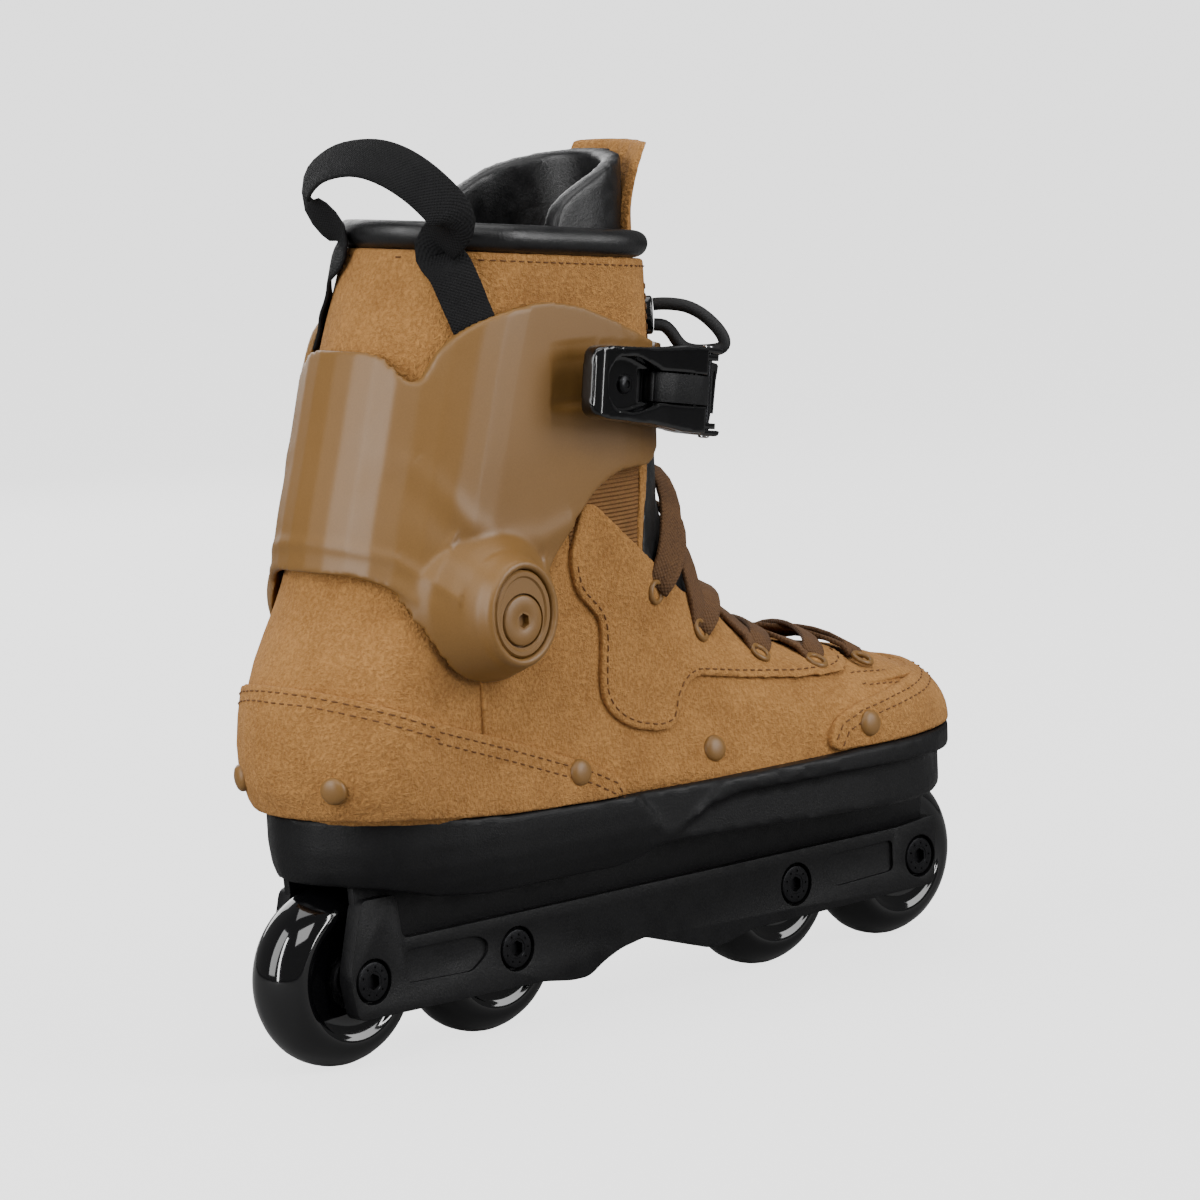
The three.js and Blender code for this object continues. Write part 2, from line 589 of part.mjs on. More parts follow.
function cuffSolid() {
  const side = [
    [-150, 160], [-131, 163], [-123, 159], [-117, 152], [-112, 147], [-105, 139], [-100, 130], [-78, 130], [-68, 150],
    [-63, 157], [-56, 165], [-49, 174], [-42, 181], [-31, 186.5], [-12, 187], [-6, WING_LOW], [60, WING_LOW], [60, 223],
    [4, 225], [-12, 228], [-30, 236], [-45, 242], [-61, 245], [-77, 243], [-90, 239], [-98, 233], [-102, 226],
    [-105, 222], [-108, 223], [-110, 231], [-113, 232], [-150, 233],
  ];
  const wrap = last(cuffOutside).intersect(sidePrism(side, -80, 80));
  const bosses = [-1, 1].map((sign) => loft([
    ellipseRing(sign * 30, 30, 27, 4), ellipseRing(sign * 41, 24, 23, 3), ellipseRing(sign * 47, 18.5, 20, cuff.ovalRise),
    ellipseRing(sign * (cuff.bossFace - 2), oval.halfWidth + oval.rim + 1, oval.halfHeight + oval.rim + 1, cuff.ovalRise),
    ellipseRing(sign * cuff.bossFace, oval.halfWidth + oval.rim, oval.halfHeight + oval.rim, cuff.ovalRise),
  ]));
  const recesses = [-1, 1].flatMap((sign) => {
    const floor = sign * (cuff.bossFace - oval.depth);
    const rise = cuff.ovalRise;
    return [
      loft([
        ellipseRing(floor, oval.halfWidth, oval.halfHeight, rise), ellipseRing(sign * 70, oval.halfWidth, oval.halfHeight, rise),
      ]),
      barY(pivotBolt.shaftRadius + 0.6, cuff.pivotX, cuff.pivotZ, ...sideSpan(sign, 0, 70), PIVOT_SIDES),
    ];
  });
  // The wings stop short of each other over the outer side of the shin.
  const slit = block(-9, 60, -60, -27, 150, FAR_UP);
  return cut(join(wrap, ...bosses), last(cuff.gap), slit, strapHole(), ...recesses);
}

function insertSolid(sign) {
  const floor = cuff.bossFace - oval.depth + GAP;
  const top = cuff.bossFace - 1;
  const w = oval.halfWidth - GAP;
  const h = oval.halfHeight - GAP;
  const plate = loft([ellipseRing(sign * floor, w, h, cuff.ovalRise), ellipseRing(sign * top, w, h, cuff.ovalRise)]);
  const seat = top - pivotBolt.headThickness;
  return cut(
    plate,
    barY(pivotBolt.headRadius + 2 * GAP, cuff.pivotX, cuff.pivotZ, ...sideSpan(sign, seat, 80), PIVOT_SIDES),
    barY(pivotBolt.shaftRadius + RUNNING, cuff.pivotX, cuff.pivotZ, ...sideSpan(sign, 0, 80), PIVOT_SIDES),
  );
}

function pivotBoltSolid(sign) {
  const top = cuff.bossFace - 1;
  const seat = top - pivotBolt.headThickness + GAP;
  const skin = Math.abs(pivotTouch(sign).at.y);
  const end = skin + GAP;
  const head = top + 0.2;
  const bolt = turned([
    [0, end], [pivotBolt.shaftRadius, end], [pivotBolt.shaftRadius, seat], [pivotBolt.headRadius, seat],
    [pivotBolt.headRadius, head - 0.7], [pivotBolt.headRadius - 1.2, head], [0, head],
  ].map(([r, y]) => [r, sign * y]), PIVOT_SIDES);
  return cut(bolt, barY(2.6, 0, 0, ...sideSpan(sign, head - 1.6, head + 2), 6));
}

function pivotNutSolid(sign) {
  const skin = Math.abs(pivotTouch(sign).at.y);
  const inside = skin - boot.skin + GAP;
  return turned([
    [0, inside], [pivotBolt.flangeRadius, inside], [pivotBolt.flangeRadius, inside + pivotBolt.flange],
    [pivotBolt.nutRadius, inside + pivotBolt.flange], [pivotBolt.nutRadius, skin], [0, skin],
  ].map(([r, y]) => [r, sign * y]), PIVOT_SIDES);
}

// ---------------------------------------------------------------- buckle and strap

// The buckle is made flat, u forwards and v away from the boot, then set on the outer wing of the cuff.
const buckleSeat = sideTouch(cuffOutside, buckle.x, buckle.z, -1).at.add(new THREE.Vector3(0, -0.9, 0));
const buckleTurn = new THREE.Quaternion().setFromEuler(new THREE.Euler(
  0, THREE.MathUtils.degToRad(buckle.slope), THREE.MathUtils.degToRad(buckle.turn), "ZYX"));
const fromBuckle = (u, v, w) => new THREE.Vector3(u, -v, w).applyQuaternion(buckleTurn).add(buckleSeat);

const strapLow = buckle.floor + buckle.strapClearance;
const strapTop = strapLow + strap.thickness;
const overStrap = strapTop + buckle.strapClearance;
const cheekInner = strap.width / 2 + 0.4;
const cheekOuter = cheekInner + buckle.cheek;
const pinV = strapTop + buckle.pinAbove;
const pawlV = strapTop + buckle.pawlAbove;

const buckleBlock = (u0, u1, v0, v1, w0, w1) => block(u0, u1, -v1, -v0, w0, w1);
const buckleBar = (radius, u, v, w0, w1, sides = 10) => {
  const bar = new THREE.CylinderGeometry(radius, radius, w1 - w0, sides).rotateX(Math.PI / 2);
  return solid(bar.translate(u, -v, (w0 + w1) / 2));
};
// An outline in u and w, with a thickness along v.
const bucklePlate = (outline, v0, v1) => sidePrism(outline, -v1, -v0);

const pinBar = (radius, half) => buckleBar(radius, buckle.pinU, pinV, -half, half);
const trunnionBar = (radius, half) => buckleBar(radius, buckle.pawlU, pawlV, -half, half);

function buckleBaseSolid() {
  const { rear, front, floor, cheekRear } = buckle;
  const cheeks = [[cheekInner, cheekOuter], [-cheekOuter, -cheekInner]].map(([w0, w1]) =>
    buckleBlock(cheekRear, front, 0, strapTop + buckle.cheekAbove, w0, w1));
  const holes = [pinBar(buckle.pinRadius + RUNNING, 20), trunnionBar(buckle.trunnionRadius + RUNNING, 20)];
  return cut(join(buckleBlock(rear, front, 0, floor, -cheekOuter, cheekOuter), ...cheeks), ...holes);
}

function buckleLeverSolid() {
  const wide = cheekOuter + buckle.leverProud;
  const narrow = strap.width / 2 + buckle.leverTail;
  const clear = cheekOuter + 0.4;
  const rear = buckle.leverRear;
  const half = [[rear, narrow - 2], [rear + 3, narrow], [-8, narrow + 1], [12, wide - 0.4], [buckle.front, wide]];
  const outline = [...half, ...half.map(([u, w]) => [u, -w]).reverse()];
  const open = [[rear + 9, 6.5], [-8, 8.3], [5, 9], [8, clear], [60, clear]];
  const window = [...open, ...open.map(([u, w]) => [u, -w]).reverse()];
  return cut(
    bucklePlate(outline, overStrap, overStrap + buckle.leverThickness), bucklePlate(window, 0, 20),
    pinBar(buckle.pinRadius + RUNNING, 20),
  );
}

function bucklePawlSolid() {
  const half = buckle.pawlHalfWidth;
  const top = buckle.pawlHeight;
  const profile = [[-4, 0], [11, 0], [13, 1.2], [21, 2.2], [21, top - 2], [16, top], [2, top], [-4, top - 2]];
  const shape = new THREE.Shape(profile.map(([u, v]) => new THREE.Vector2(u, -v - overStrap)));
  const body = new THREE.ExtrudeGeometry(shape, { depth: 2 * half, bevelEnabled: false }).translate(0, 0, -half);
  return cut(join(solid(body), trunnionBar(buckle.trunnionRadius, cheekOuter)), pinBar(3, 9));
}

const bucklePinSolid = () => pinBar(buckle.pinRadius, cheekOuter + buckle.pinProud);

const SHIN_X = -28; // middle of the shin's round front
// Round the front of the cuff: the angle from +X, the level, and the distance out from the cuff.
const STRAP_ROUTE = [
  [-44, 206, 11.5], [-30, 205.5, 9], [-12, 205, 5.5], [8, 205, 3.4], [35, 207, 2.6], [62, 210, 2.4], [88, 213, 2.4],
  [104, 214.5, 2.4],
];
const STRAP_STEPS = 14;
const shinTouch = (grow, degrees, z) => {
  const turn = THREE.MathUtils.degToRad(degrees);
  const way = [-Math.cos(turn), -Math.sin(turn), 0];
  return touch(grow, [SHIN_X - FAR * way[0], -FAR * way[1], z], way);
};

function strapStations() {
  const up = new THREE.Vector3(0, 0, 1);
  const middle = strapLow + strap.thickness / 2;
  const straight = [-8, 12, 35].map((u) => ({
    at: fromBuckle(u, middle, 0),
    normal: new THREE.Vector3(0, -1, 0).applyQuaternion(buckleTurn),
    across: new THREE.Vector3(0, 0, 1).applyQuaternion(buckleTurn),
  }));
  const route = new THREE.CatmullRomCurve3(STRAP_ROUTE.map((p) => new THREE.Vector3(...p)));
  const round = route.getSpacedPoints(STRAP_STEPS).map(({ x: degrees, y: z, z: away }) => {
    const turn = THREE.MathUtils.degToRad(degrees);
    const normal = new THREE.Vector3(Math.cos(turn), Math.sin(turn), 0);
    const { at } = shinTouch(cuffOutside, degrees, z);
    return { at: at.addScaledVector(normal, away), normal, across: up };
  });
  return [...straight, ...round];
}

const strapEnd = () => {
  const stations = strapStations();
  return stations[stations.length - 2];
};
const strapHole = () => {
  const { at, normal } = strapEnd();
  return along({ at, normal }, new THREE.CylinderGeometry(
    strapScrew.shankRadius + GAP, strapScrew.shankRadius + GAP, 16, 8));
};
const ratchetStrapSolid = () => cut(ribbon(strapStations(), strap.width, strap.thickness), strapHole());

function strapScrewSolid() {
  const { at, normal } = strapEnd();
  const seat = strap.thickness / 2 + GAP;
  const profile = [
    [0, -strapScrew.shankLength], [strapScrew.shankRadius, -strapScrew.shankLength], [strapScrew.shankRadius, seat],
    [strapScrew.headRadius, seat], [strapScrew.headRadius * 0.8, seat + strapScrew.headThickness],
    [0, seat + strapScrew.headThickness],
  ];
  return along({ at, normal }, new THREE.LatheGeometry(profile.map(([r, y]) => new THREE.Vector2(r, y)), 8));
}

// ---------------------------------------------------------------- pull loop, cord and tab

// Each point of the loop over the top: its place and the way its face looks.
const LOOP_ARCH = [
  [-98, -35, 279, -0.75, -0.65, 0.1], [-103, -25, 289, -0.8, -0.3, 0.5], [-105, -5, 293.5, -0.75, 0, 0.66],
  [-104, 14, 290, -0.8, 0.25, 0.54], [-101, 27, 280, -0.8, 0.55, 0.2],
];
const LOOP_LEGS = { lateral: [-87, 262, 243], medial: [-96, 262, 243] }; // x, then the levels down the leg

function pullLoopSolid() {
  const off = 8 * GAP; // the flat band stands off the round shaft
  const leg = (side, [x, ...levels]) => levels.map((z) => {
    const { at } = sideTouch(off, x, z, side);
    const normal = new THREE.Vector3(at.x + 60, at.y, 0).normalize();
    return { at: at.addScaledVector(normal, pullLoop.thickness / 2), normal };
  });
  const arch = LOOP_ARCH.map(([x, y, z, nx, ny, nz]) => ({
    at: new THREE.Vector3(x, y, z), normal: new THREE.Vector3(nx, ny, nz).normalize(),
  }));
  const path = [...leg(-1, LOOP_LEGS.lateral).reverse(), ...arch, ...leg(1, LOOP_LEGS.medial)];
  const stations = path.map(({ at, normal }, i) => {
    const before = path[Math.max(0, i - 1)].at;
    const after = path[Math.min(path.length - 1, i + 1)].at;
    return { at, normal, across: after.clone().sub(before).cross(normal) };
  });
  return ribbon(stations, pullLoop.width, pullLoop.thickness);
}

const TAB_ANGLE = -40;
const tabPlace = () => shinTouch(GAP, TAB_ANGLE, 234.5);
// The cord's loop stands in an upright plane: distance out from the tab's face, then the level.
const CORD_ROUTE = [
  [GAP, 238], [3, 238.1], [7, 237.8], [11.5, 236.8], [16, 234.4], [20, 230.8], [22.8, 227], [23.6, 224], [22, 222.3],
  [18, 221.8], [13.5, 222], [10, 223.2], [7.8, 225.5], [6, 228.4], [3.6, 230.7], [GAP, 231.2],
];

function linerCordSolid() {
  const { at, normal } = tabPlace();
  const out = normal.clone().setZ(0).normalize();
  const points = CORD_ROUTE.map(([away, z]) => at.clone().addScaledVector(out, away + tab.thickness).setZ(z));
  const curve = new THREE.CatmullRomCurve3(points, false, "centripetal");
  const section = new THREE.Shape().absarc(0, 0, cord.radius, 0, 2 * Math.PI);
  return solid(new THREE.ExtrudeGeometry(section, { steps: 16, curveSegments: 4, bevelEnabled: false, extrudePath: curve }));
}

function cordTabSolid() {
  const { at, normal } = tabPlace();
  const out = normal.clone().setZ(0).normalize();
  const up = new THREE.Vector3(0, 0, 1);
  const turn = new THREE.Matrix4().makeBasis(new THREE.Vector3().crossVectors(out, up), out, up);
  const disc = new THREE.CylinderGeometry(1, 1, tab.thickness, 16).scale(tab.halfWidth, 1, tab.halfHeight);
  return solid(disc.applyMatrix4(turn).translate(...at.addScaledVector(out, tab.thickness / 2)));
}

// ---------------------------------------------------------------- the skate

const skate = new THREE.Group();
const standing = new THREE.Group();
standing.position.z = wheel.radius - axleZ; // the wheels stand on the ground
skate.add(standing);

function add(name, body, material, place = [0, 0, 0]) {
  const mesh = new THREE.Mesh(geometryOf(body), material);
  mesh.name = name;
  mesh.position.set(...place);
  standing.add(mesh);
  return mesh;
}

add("chassis", chassisSolid(), BLACK_NYLON);
axleXs.forEach((x, i) => {
  const place = [x, 0, axleZ];
  const n = i + 1;
  add(`wheel_${n}`, wheelSolid(), BLACK_URETHANE, place);
  add(`spacer_${n}`, spacerSolid(), STEEL, place);
  add(`axle_bolt_${n}`, axleBoltSolid(), BLACK_METAL, place);
  add(`axle_nut_${n}`, axleNutSolid(), BLACK_METAL, place);
  for (const [side, sign] of [["outer", -1], ["inner", 1]]) {
    const ring = add(`bearing_${n}_${side}`, bearingSolid(), STEEL, [x, sign * (spacer.halfLength + GAP), axleZ]);
    if (sign < 0) ring.rotation.x = Math.PI;
  }
});

add("boot_skin", bootSkinSolid(), SUEDE);
add("heel_counter", heelCounterSolid(), SUEDE);
add("toe_cap", toeCapSolid(), SUEDE);
add("eyestay_outer", eyestaySolid(-1), SUEDE);
add("eyestay_inner", eyestaySolid(1), SUEDE);
rivetPlaces().forEach((place, i) => {
  add(`rivet_${i < 4 ? "outer" : "inner"}_${(i % 4) + 1}`, rivetSolid(place), CUFF_PLASTIC);
});
add("boot_lace", bootLaceSolid(), LACE_BROWN);

add("liner_foot", linerFootSolid(), BLACK_FABRIC);
add("liner_shaft", linerShaftSolid(), SUEDE);
add("liner_collar", linerCollarSolid(), BLACK_LEATHER);
add("tongue", tongueSolid(), BLACK_LEATHER);
add("insole", insoleSolid(), BLACK_FABRIC);

add("cuff", cuffSolid(), CUFF_PLASTIC);
for (const [side, sign] of [["outer", -1], ["inner", 1]]) {
  add(`cuff_insert_${side}`, insertSolid(sign), CUFF_PLASTIC);
  add(`cuff_bolt_${side}`, pivotBoltSolid(sign), CUFF_PLASTIC, [cuff.pivotX, 0, cuff.pivotZ]);
  add(`cuff_nut_${side}`, pivotNutSolid(sign), STEEL, [cuff.pivotX, 0, cuff.pivotZ]);
}

const buckleParts = [
  ["buckle_base", buckleBaseSolid(), BLACK_NYLON], ["buckle_lever", buckleLeverSolid(), BLACK_NYLON],
  ["buckle_pawl", bucklePawlSolid(), BLACK_NYLON], ["buckle_pin", bucklePinSolid(), BLACK_METAL],
];
for (const [name, body, material] of buckleParts) {
  add(name, body, material, buckleSeat.toArray()).quaternion.copy(buckleTurn);
}
add("ratchet_strap", ratchetStrapSolid(), BLACK_NYLON);
add("strap_screw", strapScrewSolid(), BLACK_METAL);
add("pull_loop", pullLoopSolid(), BLACK_FABRIC);
add("liner_cord", linerCordSolid(), BLACK_FABRIC);
add("cord_tab", cordTabSolid(), BLACK_NYLON);

export default skate;
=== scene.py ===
"""Looks of a right-foot aggressive inline skate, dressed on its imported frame.

Suede boot and liner, satin brown cuff, ratchet buckle, moulded black sole and frame, four glossy wheels.
Tables of places are in millimetres of the frame and are turned into metres where meshes are made.
"""

from __future__ import annotations

import json
import logging
import math
from dataclasses import dataclass, field
from enum import Enum
from typing import Callable, ClassVar, Sequence

import bmesh
import bpy
from mathutils import Matrix, Vector
from mathutils.bvhtree import BVHTree

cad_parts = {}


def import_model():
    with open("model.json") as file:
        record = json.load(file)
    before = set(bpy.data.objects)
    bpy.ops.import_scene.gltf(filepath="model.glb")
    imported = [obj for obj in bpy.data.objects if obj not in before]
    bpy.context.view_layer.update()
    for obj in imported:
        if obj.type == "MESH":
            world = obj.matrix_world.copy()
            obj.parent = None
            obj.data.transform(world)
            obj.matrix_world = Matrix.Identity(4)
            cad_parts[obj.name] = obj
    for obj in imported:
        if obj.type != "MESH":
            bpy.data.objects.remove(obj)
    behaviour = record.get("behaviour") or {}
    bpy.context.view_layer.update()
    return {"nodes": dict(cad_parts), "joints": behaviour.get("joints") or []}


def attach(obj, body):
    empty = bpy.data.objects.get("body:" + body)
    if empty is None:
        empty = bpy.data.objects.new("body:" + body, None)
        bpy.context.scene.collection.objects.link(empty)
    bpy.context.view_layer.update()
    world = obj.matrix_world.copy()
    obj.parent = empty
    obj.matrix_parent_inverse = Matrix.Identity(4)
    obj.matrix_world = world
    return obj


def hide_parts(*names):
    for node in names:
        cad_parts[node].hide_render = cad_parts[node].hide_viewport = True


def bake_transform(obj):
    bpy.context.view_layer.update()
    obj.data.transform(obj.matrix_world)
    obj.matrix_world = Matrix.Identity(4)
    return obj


log = logging.getLogger("skate")

MM = 0.001
WIDE = 80  # half the width, in millimetres, of a cutter that goes right across the boot
FAR = 300  # where a ray towards the last starts, in millimetres
Pair = tuple[float, float]
BASE = "base"
CUFF = "cuff_unit"


class Side(Enum):
    """The two sides of a right boot, by the sign of Y."""

    OUTER = -1
    INNER = 1


class Cut(Enum):
    """What a tool does to a piece."""

    TAKE_AWAY = "DIFFERENCE"
    KEEP = "INTERSECT"
    ADD = "UNION"


# ---------------------------------------------------------------- shapes on paper


def rounded(outline: Sequence[Pair], radius: float, steps: int = 5) -> list[Pair]:
    """Rounds the corners of a closed outline.

    Args:
        outline: Corners in order.
        radius: How far from each corner the round starts, at most half of a side.
        steps: Chords of each round.

    Returns:
        The outline with a curve in place of each corner.
    """
    result: list[Pair] = []
    for i, corner in enumerate(outline):
        here = Vector(corner)
        before = Vector(outline[i - 1]) - here
        after = Vector(outline[(i + 1) % len(outline)]) - here
        start = here + before.normalized() * min(radius, before.length * 0.49)
        end = here + after.normalized() * min(radius, after.length * 0.49)
        for k in range(steps + 1):
            t = k / steps
            point = start * (1 - t) ** 2 + here * 2 * t * (1 - t) + end * t * t
            result.append((point.x, point.y))
    return result


def spline(points: Sequence[Sequence[float]], steps: int) -> list[Vector]:
    """Runs a smooth curve through points of any dimension, `steps` chords between each two.

    Args:
        points: The points that the curve passes through.
        steps: How many chords lie between two points.

    Returns:
        The points along the curve.
    """
    rows = [Vector(p) for p in points]
    result = []
    for i in range(len(rows) - 1):
        a, b = rows[max(i - 1, 0)], rows[i]
        c, d = rows[i + 1], rows[min(i + 2, len(rows) - 1)]
        for k in range(steps):
            t = k / steps
            result.append(
                0.5 * (2 * b + (c - a) * t + (2 * a - 5 * b + 4 * c - d) * t * t + (3 * b - a - 3 * c + d) * t ** 3)
            )
    result.append(rows[-1])
    return result


def spaced(path: Sequence[Vector], gap: float) -> list[tuple[Vector, Vector]]:
    """Places along a path, `gap` apart, each with the path's direction there.

    Args:
        path: The points of the path.
        gap: The distance between two places.

    Returns:
        Each place with the path's direction there.
    """
    places = []
    left = gap / 2
    for start, end in zip(path, path[1:]):
        length = (end - start).length
        if length == 0:
            continue
        way = (end - start) / length
        while left <= length:
            places.append((start + way * left, way))
            left += gap
        left -= length
    return places


# ---------------------------------------------------------------- the bench


class Bench:
    """Modelling moves that every sub-assembly shares. All sizes here are in millimetres."""

    @staticmethod
    def only(piece: bpy.types.Object) -> None:
        """Selects one piece and makes it active.

        Args:
            piece: The piece to select.
        """
        bpy.ops.object.select_all(action="DESELECT")
        piece.select_set(True)
        bpy.context.view_layer.objects.active = piece

    @staticmethod
    def mesh(name: str, points: Sequence[Sequence[float]], faces: Sequence[Sequence[int]]) -> bpy.types.Object:
        """Makes a piece from points and faces, with its faces turned outwards.

        Args:
            name: The piece's name.
            points: The corners, in millimetres.
            faces: The corner numbers of each face.

        Returns:
            The new piece.
        """
        data = bpy.data.meshes.new(name)
        data.from_pydata([Vector(p) * MM for p in points], [], faces)
        shape = bmesh.new()
        shape.from_mesh(data)
        bmesh.ops.remove_doubles(shape, verts=shape.verts, dist=1e-6)
        bmesh.ops.recalc_face_normals(shape, faces=shape.faces)
        shape.to_mesh(data)
        shape.free()
        piece = bpy.data.objects.new(name, data)
        bpy.context.scene.collection.objects.link(piece)
        return piece

    @staticmethod
    def loft(name: str, rings: Sequence[Sequence[Vector]], close: bool = False) -> bpy.types.Object:
        """Skins a row of equal rings. With `close`, the last ring joins the first; otherwise both ends are capped.

        Args:
            name: The piece's name.
            rings: The rings, in order, each with as many points.
            close: Whether the last ring joins the first.

        Returns:
            The new piece.
        """
        sides = len(rings[0])
        count = len(rings)
        faces: list[list[int]] = []
        for i in range(count if close else count - 1):
            a, b = i * sides, ((i + 1) % count) * sides
            for j in range(sides):
                k = (j + 1) % sides
                faces.append([a + j, a + k, b + k, b + j])
        if not close:
            faces.append(list(range(sides)))
            faces.append(list(range((count - 1) * sides, count * sides)))
        return Bench.mesh(name, [p for ring in rings for p in ring], faces)

    @staticmethod
    def prism(name: str, outline: Sequence[Pair], low: float, high: float) -> bpy.types.Object:
        """An outline in X and Z, made solid between two levels of Y.

        Args:
            name: The piece's name.
            outline: The outline, in X and Z.
            low: The lower level of Y.
            high: The upper level of Y.

        Returns:
            The new piece.
        """
        bpy.ops.object.select_all(action="DESELECT")
        bpy.ops.mesh.primitive_circle_add(vertices=len(outline), fill_type="NGON", location=(0, 0, 0))
        piece = bpy.context.object
        piece.name = name
        for vertex, (x, z) in zip(piece.data.vertices, outline):
            vertex.co = (x * MM, low * MM, z * MM)
        bpy.ops.object.mode_set(mode="EDIT")
        bpy.ops.mesh.select_all(action="SELECT")
        bpy.ops.mesh.extrude_region_move(TRANSFORM_OT_translate={"value": (0, (high - low) * MM, 0)})
        bpy.ops.mesh.select_all(action="SELECT")
        bpy.ops.mesh.normals_make_consistent(inside=False)
        bpy.ops.object.mode_set(mode="OBJECT")
        return piece

    @staticmethod
    def block(name: str, low: Sequence[float], high: Sequence[float]) -> bpy.types.Object:
        """A cube primitive set between two corners.

        Args:
            name: The piece's name.
            low: The corner with the lowest X, Y and Z.
            high: The opposite corner.

        Returns:
            The new piece.
        """
        bpy.ops.object.select_all(action="DESELECT")
        middle = [(a + b) / 2 * MM for a, b in zip(low, high)]
        bpy.ops.mesh.primitive_cube_add(size=1, location=middle)
        piece = bpy.context.object
        piece.scale = [(b - a) * MM for a, b in zip(low, high)]
        bpy.ops.object.transform_apply(location=True, rotation=True, scale=True)
        piece.name = name
        return piece

    @staticmethod
    def bar(name: str, radius: float, at: Sequence[float], low: float, high: float,
            sides: int = 32) -> bpy.types.Object:
        """A cylinder primitive along Y, through (x, z) and between two levels of Y.

        Args:
            name: The piece's name.
            radius: The cylinder's radius.
            at: The X and Z of its axis.
            low: The lower level of Y.
            high: The upper level of Y.
            sides: How many sides stand for the round.

        Returns:
            The new piece.
        """
        bpy.ops.object.select_all(action="DESELECT")
        bpy.ops.mesh.primitive_cylinder_add(
            vertices=sides, radius=radius * MM, depth=(high - low) * MM,
            location=(at[0] * MM, (low + high) / 2 * MM, at[1] * MM), rotation=(math.pi / 2, 0, 0),
        )
        piece = bpy.context.object
        bpy.ops.object.transform_apply(location=True, rotation=True, scale=True)
        piece.name = name
        return piece

    @staticmethod
    def turned(name: str, profile: Sequence[Pair], sides: int, place: Matrix) -> bpy.types.Object:
        """Turns a profile about its axis by extruding and scaling a circle, ring by ring.

        Args:
            name: The new piece's name.
            profile: Radius and height of each ring, in order.
            sides: Sides of the circle.
            place: Where the turned piece goes, in millimetres, with its axis along the matrix's Z.

        Returns:
            The piece. Its first and last rings are filled unless the profile comes back to its start.
        """
        bpy.ops.object.select_all(action="DESELECT")
        bpy.ops.mesh.primitive_circle_add(vertices=sides, radius=profile[0][0] * MM, location=(0, 0, 0))
        piece = bpy.context.object
        piece.name = name
        loop = profile[0] == profile[-1]
        bpy.ops.object.mode_set(mode="EDIT")
        bpy.ops.mesh.select_all(action="SELECT")
        if not loop:
            bpy.ops.mesh.edge_face_add()
            bpy.ops.mesh.select_all(action="SELECT")
        bpy.ops.transform.translate(value=(0, 0, profile[0][1] * MM))
        for (r0, h0), (r1, h1) in zip(profile, profile[1:]):
            bpy.ops.mesh.extrude_region_move(TRANSFORM_OT_translate={"value": (0, 0, (h1 - h0) * MM)})
            bpy.ops.transform.resize(value=(r1 / r0, r1 / r0, 1))
        bpy.ops.mesh.select_all(action="SELECT")
        bpy.ops.mesh.remove_doubles(threshold=1e-6)
        bpy.ops.mesh.normals_make_consistent(inside=False)
        bpy.ops.object.mode_set(mode="OBJECT")
        scaled = place.copy()
        scaled.translation = place.translation * MM
        piece.data.transform(scaled)
        return piece

    @staticmethod
    def carve(piece: bpy.types.Object, tool: bpy.types.Object, cut: Cut) -> None:
        """Cuts, keeps or joins with a tool, which is used up.

        Args:
            piece: The piece that changes.
            tool: The piece that cuts or joins it.
            cut: What the tool does.
        """
        step = piece.modifiers.new(cut.name, "BOOLEAN")
        step.operation = cut.value
        step.solver = "EXACT"
        step.object = tool
        Bench.only(piece)
        bpy.ops.object.modifier_apply(modifier=step.name)
        bpy.data.objects.remove(tool)

    @staticmethod
    def soften(piece: bpy.types.Object, grain: float, passes: int) -> None:
        """Gives a carved piece an even skin of `grain` sized faces and rounds its edges.

        Args:
            piece: The carved piece.
            grain: The size of the new faces, in millimetres.
            passes: How many times the skin is smoothed.
        """
        step = piece.modifiers.new("Skin", "REMESH")
        step.mode = "VOXEL"
        step.voxel_size = grain * MM
        Bench.only(piece)
        bpy.ops.object.modifier_apply(modifier=step.name)
        if passes:
            step = piece.modifiers.new("Ease", "SMOOTH")
            step.factor = 0.5
            step.iterations = passes
            bpy.ops.object.modifier_apply(modifier=step.name)
        bpy.ops.object.shade_smooth()

    @staticmethod
    def bevel(piece: bpy.types.Object, width: float, segments: int = 2, angle: float = 35) -> None:
        """Rounds the edges that are sharper than an angle in degrees.

        Args:
            piece: The piece that changes.
            width: The bevel's width, in millimetres.
            segments: How many steps round the edge.
            angle: The angle, in degrees, past which an edge is rounded.
        """
        step = piece.modifiers.new("Edges", "BEVEL")
        step.width = width * MM
        step.segments = segments
        step.limit_method = "ANGLE"
        step.angle_limit = math.radians(angle)
        step.use_clamp_overlap = True
        step.harden_normals = False
        Bench.only(piece)
        bpy.ops.object.modifier_apply(modifier=step.name)
        bpy.ops.object.shade_smooth_by_angle(angle=math.radians(40))

    @staticmethod
    def round_over(piece: bpy.types.Object, levels: int = 2) -> None:
        """Subdivides a coarse cage into a soft form.

        Args:
            piece: The coarse cage.
            levels: How many times it is subdivided.
        """
        step = piece.modifiers.new("Round", "SUBSURF")
        step.levels = step.render_levels = levels
        Bench.only(piece)
        bpy.ops.object.modifier_apply(modifier=step.name)
        bpy.ops.object.shade_smooth()

    @staticmethod
    def joined(name: str, pieces: Sequence[bpy.types.Object]) -> bpy.types.Object:
        """Joins pieces into one object.

        Args:
            name: The joined piece's name.
            pieces: The pieces, which are used up.

        Returns:
            The joined piece.
        """
        bpy.ops.object.select_all(action="DESELECT")
        for piece in pieces:
            piece.select_set(True)
        bpy.context.view_layer.objects.active = pieces[0]
        if len(pieces) > 1:
            bpy.ops.object.join()
        pieces[0].name = name
        return pieces[0]

